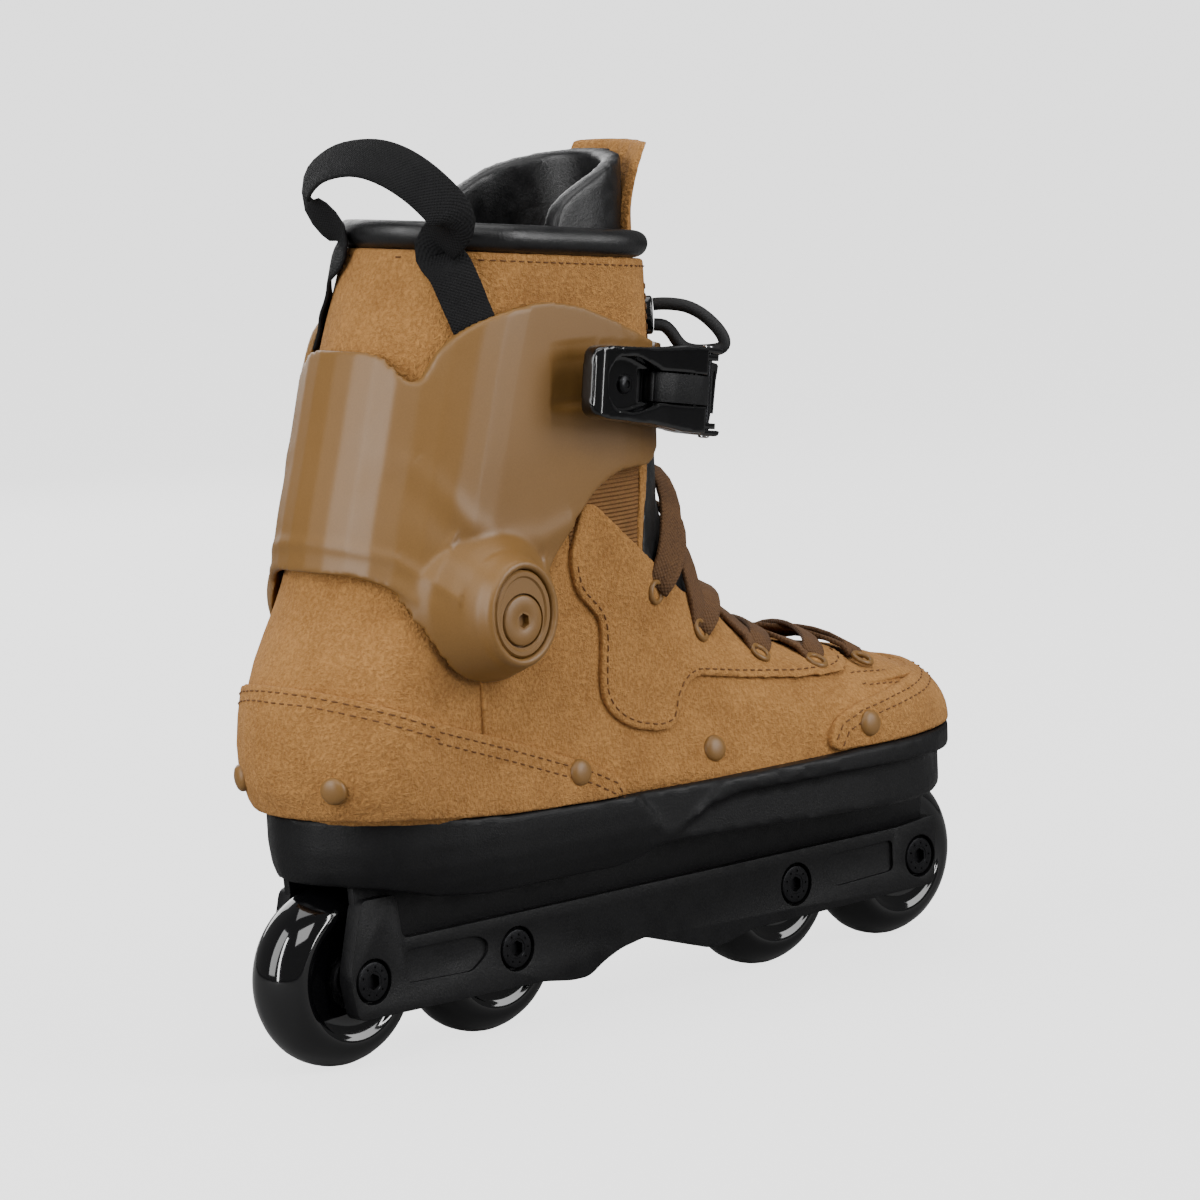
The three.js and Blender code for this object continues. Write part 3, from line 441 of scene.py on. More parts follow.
    @staticmethod
    def band(
        name: str, stations: Sequence[tuple[Vector, Vector]], width: float, thickness: float, round_edge: float = 0.4
    ) -> bpy.types.Object:
        """A flat woven band with a UV map that runs along it.

        Args:
            name: The new piece's name.
            stations: Places in millimetres, each with the way the band's face looks.
            width: Width across the band.
            thickness: Thickness of the band.
            round_edge: How much of the thickness each edge loses by being round.

        Returns:
            The band, closed at both ends. UV u is millimetres along it, v millimetres across it.
        """
        half = width / 2
        deep = thickness / 2
        section = [(-half, -deep * (1 - round_edge)), (-half * 0.93, -deep), (-half * 0.4, -deep),
            (half * 0.4, -deep),
                   (half * 0.93, -deep), (half, -deep * (1 - round_edge)), (half, deep * (1 - round_edge)),
                   (half * 0.93, deep), (half * 0.4, deep), (-half * 0.4, deep), (-half * 0.93, deep),
                   (-half, deep * (1 - round_edge))]
        rings = []
        for i, (at, face) in enumerate(stations):
            way = stations[min(i + 1, len(stations) - 1)][0] - stations[max(i - 1, 0)][0]
            across = way.cross(face).normalized()
            normal = across.cross(way).normalized()
            rings.append([at + across * a + normal * b for a, b in section])
        piece = Bench.loft(name, rings)
        lengths = [0.0]
        for (a, _), (b, _) in zip(stations, stations[1:]):
            lengths.append(lengths[-1] + (b - a).length)
        uv = piece.data.uv_layers.new(name="UVMap")
        sides = len(section)
        for loop in piece.data.loops:
            ring, corner = divmod(loop.vertex_index, sides)
            uv.data[loop.index].uv = (lengths[min(ring, len(lengths) - 1)], section[corner][0])
        for face in piece.data.polygons:
            face.use_smooth = True
        return piece

    @staticmethod
    def thread(name: str, places: Sequence[tuple[Vector, Vector, Vector]], length: float,
            radius: float) -> bpy.types.Object:
        """A row of sewn stitches, each a short spindle.

        Args:
            name: The new piece's name.
            places: For each stitch its middle, its direction and the way out of the cloth, in millimetres.
            length: Length of a stitch.
            radius: Thickest radius of the thread.

        Returns:
            One piece that holds all the stitches.
        """
        points: list[Vector] = []
        faces: list[list[int]] = []
        shape = [(-0.5, 0.0), (-0.3, 0.85), (0.3, 0.85), (0.5, 0.0)]
        for at, way, out in places:
            across = way.cross(out).normalized()
            base = len(points)
            for share, full in shape:
                middle = at + way * share * length + out * radius * (1.1 * full - 0.5)
                if full == 0:
                    points.append(middle)
                else:
                    for k in range(5):
                        turn = 2 * math.pi * k / 5
                        points.append(middle + (across * math.cos(turn) + out * math.sin(turn)) * radius * full)
            for k in range(5):
                n = (k + 1) % 5
                faces.append([base, base + 1 + n, base + 1 + k])
                faces.append([base + 1 + k, base + 1 + n, base + 6 + n, base + 6 + k])
                faces.append([base + 11, base + 6 + k, base + 6 + n])
        piece = Bench.mesh(name, points, faces)
        for face in piece.data.polygons:
            face.use_smooth = True
        return piece


# ---------------------------------------------------------------- finishes


class Nodes:
    """A short hand for laying out a shader's nodes."""

    def __init__(self, tree: bpy.types.NodeTree) -> None:
        """Works in one node tree."""
        self.tree = tree

    def add(self, kind: str, **values: object) -> bpy.types.Node:
        """Adds a node, sets its fields, and its inputs where a value's key is an input's name.

        Args:
            kind: The node's type name.

        Returns:
            The new node.
        """
        node = self.tree.nodes.new(kind)
        for key, value in values.items():
            name = key.replace("_", " ")
            if hasattr(node, key):
                setattr(node, key, value)
            else:
                node.inputs[name].default_value = value
        return node

    def wire(self, start: bpy.types.NodeSocket, end: bpy.types.NodeSocket) -> None:
        """Links two sockets."""
        self.tree.links.new(start, end)


class Groups:
    """Shader effects that several finishes share, each built once."""

    made: ClassVar[dict[str, bpy.types.NodeTree]] = {}

    @classmethod
    def get(cls, name: str, build: Callable[[], bpy.types.NodeTree]) -> bpy.types.NodeTree:
        """Returns the named group, built on first use."""
        if name not in cls.made:
            cls.made[name] = build()
        return cls.made[name]

    @staticmethod
    def mottle() -> bpy.types.NodeTree:
        """Two colours mixed in soft patches with fine grain over them.

        Returns:
            A group with colours and two scales in, and a colour, a fine height and a patch mask out.
        """
        tree = bpy.data.node_groups.new("mottle", "ShaderNodeTree")
        face = tree.interface
        for name, kind in (("Dark", "NodeSocketColor"), ("Light", "NodeSocketColor"),
                           ("Patch Scale", "NodeSocketFloat"), ("Grain Scale", "NodeSocketFloat")):
            face.new_socket(name=name, in_out="INPUT", socket_type=kind)
        for name, kind in (("Color", "NodeSocketColor"), ("Height", "NodeSocketFloat"),
            ("Mask", "NodeSocketFloat")):
            face.new_socket(name=name, in_out="OUTPUT", socket_type=kind)
        n = Nodes(tree)
        entry = n.add("NodeGroupInput")
        leave = n.add("NodeGroupOutput")
        place = n.add("ShaderNodeTexCoord")
        patch = n.add("ShaderNodeTexNoise", Detail=4.0, Roughness=0.6)
        grain = n.add("ShaderNodeTexNoise", Detail=3.0, Roughness=0.7)
        for noise, scale in ((patch, "Patch Scale"), (grain, "Grain Scale")):
            n.wire(place.outputs["Object"], noise.inputs["Vector"])
            n.wire(entry.outputs[scale], noise.inputs["Scale"])
        stretch = n.add("ShaderNodeMapRange")
        stretch.inputs["From Min"].default_value = 0.36
        stretch.inputs["From Max"].default_value = 0.64
        n.wire(patch.outputs["Fac"], stretch.inputs["Value"])
        fine = n.add("ShaderNodeMapRange")
        fine.inputs["From Min"].default_value = 0.36
        fine.inputs["From Max"].default_value = 0.64
        n.wire(grain.outputs["Fac"], fine.inputs["Value"])
        share = n.add("ShaderNodeMath", operation="MULTIPLY_ADD")
        share.inputs[1].default_value = 0.68
        n.wire(fine.outputs["Result"], share.inputs[0])
        half = n.add("ShaderNodeMath", operation="MULTIPLY")
        half.inputs[1].default_value = 0.32
        n.wire(stretch.outputs["Result"], half.inputs[0])
        n.wire(half.outputs[0], share.inputs[2])
        mix = n.add("ShaderNodeMix", data_type="RGBA")
        n.wire(share.outputs[0], mix.inputs["Factor"])
        n.wire(entry.outputs["Dark"], mix.inputs[6])
        n.wire(entry.outputs["Light"], mix.inputs[7])
        n.wire(mix.outputs[2], leave.inputs["Color"])
        n.wire(fine.outputs["Result"], leave.inputs["Height"])
        n.wire(stretch.outputs["Result"], leave.inputs["Mask"])
        return tree

    @staticmethod
    def weave() -> bpy.types.NodeTree:
        """Crossed ribs on a band's own UV map, in millimetres.

        Returns:
            A group with the two rib pitches in, and a height out.
        """
        tree = bpy.data.node_groups.new("weave", "ShaderNodeTree")
        for name in ("Along", "Across"):
            tree.interface.new_socket(name=name, in_out="INPUT", socket_type="NodeSocketFloat")
        tree.interface.new_socket(name="Height", in_out="OUTPUT", socket_type="NodeSocketFloat")
        n = Nodes(tree)
        entry = n.add("NodeGroupInput")
        leave = n.add("NodeGroupOutput")
        place = n.add("ShaderNodeTexCoord")
        split = n.add("ShaderNodeSeparateXYZ")
        n.wire(place.outputs["UV"], split.inputs[0])
        waves = []
        for axis, name in (("X", "Along"), ("Y", "Across")):
            scaled = n.add("ShaderNodeMath", operation="MULTIPLY")
            n.wire(split.outputs[axis], scaled.inputs[0])
            n.wire(entry.outputs[name], scaled.inputs[1])
            wave = n.add("ShaderNodeMath", operation="SINE")
            n.wire(scaled.outputs[0], wave.inputs[0])
            waves.append(wave)
        product = n.add("ShaderNodeMath", operation="MULTIPLY")
        n.wire(waves[0].outputs[0], product.inputs[0])
        n.wire(waves[1].outputs[0], product.inputs[1])
        centred = n.add("ShaderNodeMath", operation="MULTIPLY_ADD")
        centred.inputs[1].default_value = 0.5
        centred.inputs[2].default_value = 0.5
        n.wire(product.outputs[0], centred.inputs[0])
        n.wire(centred.outputs[0], leave.inputs["Height"])
        return tree


Colour = tuple[float, float, float]


@dataclass(frozen=True)
class Finish:
    """One material: mottled colour with a grain, a gloss and, for cloth, a sheen."""

    name: str
    slot: str
    dark: Colour
    light: Colour
    rough: float
    patch_scale: float = 40.0
    grain_scale: float = 900.0
    bump: float = 0.2
    depth: float = 0.3
    metal: float = 0.0
    sheen: float = 0.0
    coat: float = 0.0
    rough_spread: float = 0.0
    specular: float = 0.5
    ribs: float = 0.0
    weave: tuple[float, float] | None = None

    def material(self) -> bpy.types.Material:
        """Builds the material, once.

        Returns:
            The material, shared by every piece of this finish.
        """
        title = f"{self.name}_finish"
        known = bpy.data.materials.get(title)
        if known:
            return known
        made = bpy.data.materials.new(title)
        made.use_nodes = True
        n = Nodes(made.node_tree)
        shader = made.node_tree.nodes["Principled BSDF"]
        shader.inputs["Roughness"].default_value = self.rough
        shader.inputs["Metallic"].default_value = self.metal
        shader.inputs["Specular IOR Level"].default_value = self.specular
        shader.inputs["Sheen Weight"].default_value = self.sheen
        shader.inputs["Sheen Roughness"].default_value = 0.45
        shader.inputs["Sheen Tint"].default_value = (*self.light, 1)
        shader.inputs["Coat Weight"].default_value = self.coat
        shader.inputs["Coat Roughness"].default_value = 0.06
        mottle = n.add("ShaderNodeGroup")
        mottle.node_tree = Groups.get("mottle", Groups.mottle)
        mottle.inputs["Dark"].default_value = (*self.dark, 1)
        mottle.inputs["Light"].default_value = (*self.light, 1)
        mottle.inputs["Patch Scale"].default_value = self.patch_scale
        mottle.inputs["Grain Scale"].default_value = self.grain_scale
        n.wire(mottle.outputs["Color"], shader.inputs["Base Color"])
        if self.rough_spread:
            spread = n.add("ShaderNodeMapRange")
            spread.inputs["To Min"].default_value = self.rough
            spread.inputs["To Max"].default_value = self.rough + self.rough_spread
            n.wire(mottle.outputs["Mask"], spread.inputs["Value"])
            n.wire(spread.outputs["Result"], shader.inputs["Roughness"])
        bump = n.add("ShaderNodeBump")
        bump.inputs["Strength"].default_value = self.bump
        bump.inputs["Distance"].default_value = self.depth * MM
        n.wire(mottle.outputs["Height"], bump.inputs["Height"])
        if self.weave:
            ribs = n.add("ShaderNodeGroup")
            ribs.node_tree = Groups.get("weave", Groups.weave)
            ribs.inputs["Along"].default_value = self.weave[0]
            ribs.inputs["Across"].default_value = self.weave[1]
            second = n.add("ShaderNodeBump")
            second.inputs["Strength"].default_value = 0.8
            second.inputs["Distance"].default_value = 0.35 * MM
            n.wire(ribs.outputs["Height"], second.inputs["Height"])
            n.wire(bump.outputs["Normal"], second.inputs["Normal"])
            bump = second
        if self.ribs:
            place = n.add("ShaderNodeTexCoord")
            level = n.add("ShaderNodeSeparateXYZ")
            n.wire(place.outputs["Object"], level.inputs[0])
            turns = n.add("ShaderNodeMath", operation="MULTIPLY")
            turns.inputs[1].default_value = self.ribs
            n.wire(level.outputs["Z"], turns.inputs[0])
            wave = n.add("ShaderNodeMath", operation="SINE")
            n.wire(turns.outputs[0], wave.inputs[0])
            cord = n.add("ShaderNodeBump")
            cord.inputs["Strength"].default_value = 1.0
            cord.inputs["Distance"].default_value = 0.35 * MM
            n.wire(wave.outputs[0], cord.inputs["Height"])
            n.wire(bump.outputs["Normal"], cord.inputs["Normal"])
            bump = cord
        n.wire(bump.outputs["Normal"], shader.inputs["Normal"])
        return made


SUEDE = Finish("suede", "suede", (0.275, 0.12, 0.027), (0.495, 0.242, 0.069), 0.95, 75, 780, 0.85, 0.55,
    sheen=0.12)
# The stitches' dark brown is partly the thread's own colour and partly painted shade: it is darker than the light
# tone-on-tone thread, so each row reads as a dark shaded seam line.
THREAD_WITH_PAINTED_SHADE = Finish("thread", "suede", (0.11, 0.045, 0.011), (0.17, 0.073, 0.019), 0.8, 300, 2500, 0.3, 0.1)
PLASTIC = Finish("cuff_plastic", "cuff_plastic", (0.185, 0.092, 0.022), (0.215, 0.109, 0.028), 0.4, 25, 1800,
    0.05, 0.08,
                 rough_spread=0.07)
NYLON = Finish("moulded_nylon", "nylon", (0.0025, 0.0025, 0.003), (0.0045, 0.0045, 0.005), 0.4, 90, 1500, 0.3,
    0.15,
               rough_spread=0.2, specular=0.26)
GLOSS_BLACK = Finish("gloss_black", "nylon", (0.002, 0.002, 0.0022), (0.0035, 0.0035, 0.004), 0.14, 60, 900,
    0.03, 0.08,
                     coat=0.4)
URETHANE = Finish("urethane", "urethane", (0.0015, 0.0015, 0.0018), (0.0025, 0.0025, 0.003), 0.07, 40, 700,
    0.015, 0.05,
                  coat=0.5)
LINING = Finish("lining", "lining", (0.004, 0.004, 0.0045), (0.008, 0.008, 0.009), 0.9, 80, 1600, 0.5, 0.3,
    sheen=0.03, specular=0.3)
LEATHER = Finish("black_leather", "leather", (0.003, 0.003, 0.0035), (0.005, 0.005, 0.0055), 0.3, 220, 1100,
    0.2, 0.25,
                 rough_spread=0.15)
OXIDE = Finish("black_oxide", "black_metal", (0.008, 0.008, 0.009), (0.02, 0.02, 0.022), 0.33, 200, 1500,
    0.08, 0.1,
               metal=0.8)
STEEL = Finish("steel", "steel", (0.42, 0.42, 0.43), (0.55, 0.55, 0.56), 0.25, 200, 1500, 0.05, 0.1,
    metal=1.0)
LACE = Finish("woven_lace", "lace", (0.062, 0.026, 0.0075), (0.135, 0.062, 0.020), 0.88, 90, 1500, 0.4, 0.2,
    sheen=0.05,
              weave=(4.2, 3.6))
RIBBED = Finish("ribbed_elastic", "suede", (0.17, 0.075, 0.018), (0.27, 0.125, 0.034), 0.9, 90, 1500, 0.4,
    0.2, sheen=0.1,
                ribs=2 * math.pi / (1.4 * MM))
WEBBING = Finish("webbing", "webbing", (0.003, 0.003, 0.0035), (0.007, 0.007, 0.0075), 0.8, 150, 1800, 0.35,
    0.2,
                 sheen=0.03, specular=0.25, weave=(5.2, 4.2))
CORD = Finish("braided_cord", "lining", (0.003, 0.003, 0.0035), (0.007, 0.007, 0.0075), 0.7, 150, 1800, 0.35,
    0.2,
              sheen=0.1, weave=(2.6, 5.0))


def dress(piece: bpy.types.Object, finish: Finish, body: str | None, *nodes: str) -> bpy.types.Object:
    """Gives a piece its finish, the body it rides on and the CAD nodes that it stands for.

    Args:
        piece: The finished piece.
        finish: Its finish.
        body: The body it rides on, or None for a piece attached to no body.
        nodes: The CAD nodes that it replaces.

    Returns:
        The same piece.
    """
    piece.data.materials.clear()
    piece.data.materials.append(finish.material())
    if body:
        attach(piece, body)
    if nodes:
        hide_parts(*nodes)
    log.info("%s: %d faces on %s", piece.name, len(piece.data.polygons), body or "two bodies")
    return piece


# ---------------------------------------------------------------- the last


@dataclass
class Last:
    """The boot's own shape, as rings from the toe back round the heel and up the shin."""

    between: int = 4
    outer_steps: int = 8
    side_steps: int = 4
    inner_steps: int = 9
    toe_start: float = 100.0
    toe_end: float = 144.5
    trees: dict[float, BVHTree] = field(default_factory=dict)

    # Outer end x, z; inner end x, z; half widths on the outer side, then the inner side, each from the outer
    # end to the inner end; lengths of the two round ends.
    SECTIONS: ClassVar[tuple[tuple[float, ...], ...]] = (
        (147.2, 71.5, 147.2, 80.5, 6, 5, 7, 6, 3, 5),
        (144.5, 68, 144.5, 85.5, 13, 10, 15, 12, 4, 12),
        (140.5, 67, 140.5, 92, 21, 18, 23, 20, 7, 17),
        (133, 67, 133, 98.5, 30, 27, 31, 28, 9, 23),
        (123, 67, 123, 103, 38, 35, 37, 34, 9, 28),
        (108, 67, 108, 108, 44.5, 42, 41.5, 39, 9, 33),
        (87, 67, 87, 112, 48.5, 45, 44, 41, 9, 36),
        (60, 67, 60, 117, 48.5, 42, 44, 39, 9, 40),
        (19.6, 67, 42, 127, 45, 34, 40.5, 32, 12, 42),
        (-33, 67, 30, 141, 41, 31, 37.5, 30, 20, 44),
        (-116, 67, 22.5, 154.5, 39.5, 31, 38.5, 31, 31, 43),
        (-145, 86, 18, 161, 39.5, 32.5, 39.5, 32, 33, 42),
        (-147, 120, 14.5, 168, 39, 33.5, 39, 33.5, 38, 41),
        (-131, 154, 12, 173, 38.5, 35, 38.5, 35, 38, 40),
        (-125, 178, 11, 178, 38, 36.5, 38, 36.5, 38, 39),
        (-118, 202, 10, 202, 38, 38, 38, 38, 38, 38),
        (-109.5, 232, 10.5, 232, 38, 38, 38, 38, 38, 38),
        (-97.5, 264, 10, 264, 38, 38, 38, 38, 38, 38),
        (-88, 300, 11, 300, 37.5, 37.5, 37.5, 37.5, 37, 37),
    )

    def ring(self, values: Sequence[float], grow: float) -> list[Vector]:
        """One closed ring.

        Args:
            values: One row of the section table.
            grow: How far outside the boot's surface the ring lies, in millimetres.

        Returns:
            The ring's points, inner side of the foot first.
        """
        ox, oz, ix, iz, l0, l1, m0, m1, e0, e1 = values
        start = Vector((ox, 0, oz))
        way = Vector((ix, 0, iz)) - start
        span = way.length + 2 * grow
        way.normalize()
        share = min(max((ox - self.toe_start) / (self.toe_end - self.toe_start), 0), 1)
        start += -way * grow + Vector((grow * share * share * (3 - 2 * share), 0, 0))
        outer_end = min(max(e0 + grow, 1), span * 0.45)
        inner_end = min(max(e1 + grow, 1), span * 0.5)

        def place(depth: float, full: float, side: int, wide: float, narrow: float) -> Vector:
            """A point at a depth along the section, out from its middle by a share of the half width."""
            width = wide + (narrow - wide) * depth / span + grow
            point = start + way * depth
            point.y = side * width * full
            return point

        def half(side: int, wide: float, narrow: float) -> list[Vector]:
            """One side of the ring, from the outer end to the inner end."""
            points = []
            for i in range(self.outer_steps + 1):
                turn = math.pi / 2 * i / self.outer_steps
                points.append(place(outer_end * (1 - math.cos(turn)), math.sin(turn), side, wide, narrow))
            for i in range(1, self.side_steps):
                depth = outer_end + (span - inner_end - outer_end) * i / self.side_steps
                points.append(place(depth, 1, side, wide, narrow))
            for i in range(self.inner_steps + 1):
                turn = math.pi / 2 * i / self.inner_steps
                points.append(place(span - inner_end * (1 - math.sin(turn)), math.cos(turn), side, wide,
                    narrow))
            return points

        return half(1, m0, m1) + half(-1, l0, l1)[1:-1][::-1]

    def rings(self, grow: float) -> list[list[Vector]]:
        """All rings at a distance from the boot's surface."""
        return [self.ring(values, grow) for values in spline(self.SECTIONS, self.between)]

    def body(self, name: str, grow: float) -> bpy.types.Object:
        """The whole last as a closed piece."""
        return Bench.loft(name, self.rings(grow))

    def shell(self, name: str, outside: float, inside: float) -> bpy.types.Object:
        """The space between two distances from the boot's surface.

        Args:
            name: The piece's name.
            outside: The outer distance, in millimetres.
            inside: The inner distance, less than the outer one.

        Returns:
            The new piece.
        """
        piece = self.body(name, outside)
        Bench.carve(piece, self.body("core", inside), Cut.TAKE_AWAY)
        return piece

    def touch(self, origin: Vector, way: Vector, grow: float) -> tuple[Vector, Vector]:
        """Where a ray meets the last from outside.

        Args:
            origin: Where the ray starts, in millimetres.
            way: The ray's direction.
            grow: Distance of the surface from the boot's own.

        Returns:
            The place, and the way the surface faces there.
        """
        if grow not in self.trees:
            rings = self.rings(grow)
            sides = len(rings[0])
            faces = [
                (i * sides + j, i * sides + (j + 1) % sides, (i + 1) * sides + (j + 1) % sides,
                    (i + 1) * sides + j)
                for i in range(len(rings) - 1) for j in range(sides)
            ]
            self.trees[grow] = BVHTree.FromPolygons([p for ring in rings for p in ring], faces)
        at, normal, _, _ = self.trees[grow].ray_cast(origin, way.normalized())
        if at is None:
            raise ValueError(f"no surface from {origin} along {way}")
        return at, normal if normal.dot(way) < 0 else -normal

    def beside(self, x: float, z: float, side: Side, grow: float) -> tuple[Vector, Vector]:
        """The surface's place beside (x, z), seen square from one side."""
        return self.touch(Vector((x, side.value * FAR, z)), Vector((0, -side.value, 0)), grow)

    def around(self, degrees: float, z: float, grow: float, centre: float) -> tuple[Vector, Vector]:
        """The surface's place at an angle from +X about an upright line at `centre`.

        Args:
            degrees: The angle from +X.
            z: The level, in millimetres.
            grow: The distance outside the surface.
            centre: The X of the upright line.

        Returns:
            The place and the direction out of the surface.
        """
        turn = math.radians(degrees)
        out = Vector((math.cos(turn), math.sin(turn), 0))
        return self.touch(Vector((centre, 0, z)) + out * FAR, -out, grow)


# ---------------------------------------------------------------- the boot


def stitched(
    last: Last, path: Sequence[Pair], side: Side, grow: float, gap: float, length: float
) -> list[tuple[Vector, Vector, Vector]]:
    """Places for stitches along a path seen from the side, laid on the last.

    Args:
        last: The boot's form.
        path: The line of stitches, in X and Z.
        side: The side of the boot.
        grow: The height over the last's surface, in millimetres.
        gap: The distance between two stitches.
        length: The length of one stitch.

    Returns:
        For each stitch its place and the two directions that turn it.
    """
    places = []
    line = [Vector((x, z)) for x, z in path]
    for at, way in spaced(line, gap):
        try:
            middle, out = last.beside(at.x, at.y, side, grow)
            ahead, _ = last.beside(at.x + way.x * length, at.y + way.y * length, side, grow)
        except ValueError:
            continue
        direction = ahead - middle
        if 0 < direction.length < 4 * length:
            places.append((middle, direction.normalized(), out))
    return places


@dataclass
class Boot:
    """The suede boot with its overlays, rivets and stitching."""

    last: Last
    skin: float = 6.0
    overlay: float = 2.3
    throat: float = 14.0
    rivet_radius: float = 4.5

    SOLE_EDGE: ClassVar[tuple[Pair, ...]] = (
        (-170, 85), (-125, 83.5), (-82, 79.5), (-40, 78), (0, 78), (40, 79), (70, 80), (170, 79.5),
    )
    TOP_EDGE: ClassVar[tuple[Pair, ...]] = ((170, 200), (60, 145), (30, 139.5), (12, 137.5), (-7, 150),
        (-25, 162.5), (-42, 172), (-125, 160), (-170, 157))
    COUNTER_TOP: ClassVar[tuple[Pair, ...]] = (
        (-170, 131), (-147, 128), (-130, 121), (-113, 114), (-80, 103), (-45, 90.5), (-36, 86), (-31, 78.7),
    )
    CAP_EDGE: ClassVar[tuple[Pair, ...]] = (
        (58, 80.5), (58, 86), (62, 91.5), (72, 95), (90, 97.5), (113, 99.5), (133, 101), (150, 102),
    )
    EYESTAY: ClassVar[tuple[Pair, ...]] = (
        (-45, 176), (-50.5, 160), (-48, 148), (-37, 138), (-36, 130), (-38, 112), (-33, 104), (-24, 99), (-11,
            96.5),
        (-4, 99), (-1, 108), (6, 113), (30, 109), (54, 106), (76, 105), (86, 108), (91, 125), (60, 150), (30,
            141), (12, 139), (-7, 152), (-25, 165), (-40, 177),
    )
    THROAT: ClassVar[tuple[Pair, ...]] = (
        (92, 100), (92, 130), (60, 150), (30, 400), (-15, 400), (-15, 150), (20, 118), (60, 96),
    )
    RIVETS: ClassVar[tuple[tuple[float, float, float], ...]] = ((-52, 89, 2.3), (10, 88, 0), (76, 88, 2.3))
    HEEL_RIVET: ClassVar[tuple[float, float, float]] = (31, 95, -106)  # angle off straight back, level, centre

    def upper(self) -> None:
        """The suede upper, from the sole's edge to the ankle."""
        piece = self.last.shell("upper", 0, -self.skin)
        window = [*[(x, z - 2) for x, z in self.SOLE_EDGE], *self.TOP_EDGE]
        Bench.carve(piece, Bench.prism("window", window, -WIDE, WIDE), Cut.KEEP)
        Bench.carve(piece, Bench.prism("throat", self.THROAT, -self.throat, self.throat), Cut.TAKE_AWAY)
        Bench.soften(piece, 1.1, 2)
        dress(piece, SUEDE, BASE, "boot_skin")

    def overlay_piece(self, name: str, outline: Sequence[Pair], lift: float,
            radius: float) -> bpy.types.Object:
        """A raised panel of suede with an outline seen from the side.

        Args:
            name: The piece's name.
            outline: The panel's edge, in X and Z.
            lift: How far it stands over the common overlay.
            radius: The radius of its corners.

        Returns:
            The new piece.
        """
        piece = self.last.shell(name, self.overlay + lift, -0.4)
        Bench.carve(piece, Bench.prism("window", rounded(outline, radius), -WIDE, WIDE), Cut.KEEP)
        return piece

    def counter(self) -> None:
        """The heel counter."""
        outline = [*self.COUNTER_TOP, *[(x, z + 0.1) for x, z in reversed(self.SOLE_EDGE) if x < -35]]
        piece = self.overlay_piece("counter", outline, 0, 6)
        Bench.soften(piece, 0.8, 1)
        dress(piece, SUEDE, BASE, "heel_counter")

    def cap(self) -> None:
        """The toe cap."""
        outline = [*self.CAP_EDGE, (170, 103), (170, 80), (70, 80.3)]
        piece = self.overlay_piece("cap", outline, 0, 6)
        Bench.soften(piece, 0.8, 1)
        dress(piece, SUEDE, BASE, "toe_cap")

    def eyestay(self, side: Side) -> None:
        """One eyestay, with its row of eyelets.

        Args:
            side: The side of the boot.
        """
        piece = self.overlay_piece(f"eyestay_{side.name.lower()}_panel", self.EYESTAY, -0.5, 5)
        low, high = sorted((side.value * (self.throat + 0.4), side.value * 90))
        Bench.carve(piece, Bench.block("half", (-170, low, 0), (170, high, 400)), Cut.KEEP)
        Bench.soften(piece, 0.8, 1)
        dress(piece, SUEDE, BASE, f"eyestay_{side.name.lower()}")

    def vamp_ridge(self) -> None:
        """The raised seam that runs round the top of the toe box, from one eyestay to the other."""
        path = spline([(80, -40), (96, -37.5), (110, -33), (122, -25), (129.5, -13), (132, 0), (129.5, 14),
                       (122, 25), (110, 32), (96, 35.5), (80, 37)], 6)
        stations = []
        for i, p in enumerate(path):
            at, out = self.last.touch(Vector((p.x, p.y, 300)), Vector((0, 0, -1)), 0.0)
            sink = 2.4 * (1 - min(1.0, min(i, len(path) - 1 - i) / 8))
            stations.append((at + out * (0.5 - sink), out))
        piece = Bench.band("vamp_ridge", stations, 4.4, 2.0, 0.9)
        dress(piece, SUEDE, BASE)
        rows = []
        for shift in (-3.2, 3.2):
            line = []
            for i, (at, out) in enumerate(stations):
                way = stations[min(i + 1, len(stations) - 1)][0] - stations[max(i - 1, 0)][0]
                line.append(at + way.cross(out).normalized() * shift)
            for at, way in spaced(line, 3.6):
                place, out = self.last.touch(at + Vector((0, 0, 40)), Vector((0, 0, -1)), 0.0)
                rows.append((place, way, out))
        dress(Bench.thread("vamp_stitches", rows, 2.6, 0.34), THREAD_WITH_PAINTED_SHADE, BASE)

    def piping(self) -> None:
        """The upright back seams, one on each side of the ankle."""
        pieces = []
        for side in Side:
            stations = []
            for z in range(104, 166, 4):
                stations.append(self.last.beside(-91 + (z - 104) * 0.02, z, side, 0.35))
            pieces.append(Bench.band(f"piping_{side.name.lower()}", stations, 2.6, 1.4, 0.9))
        dress(Bench.joined("ankle_piping", pieces), SUEDE, BASE)

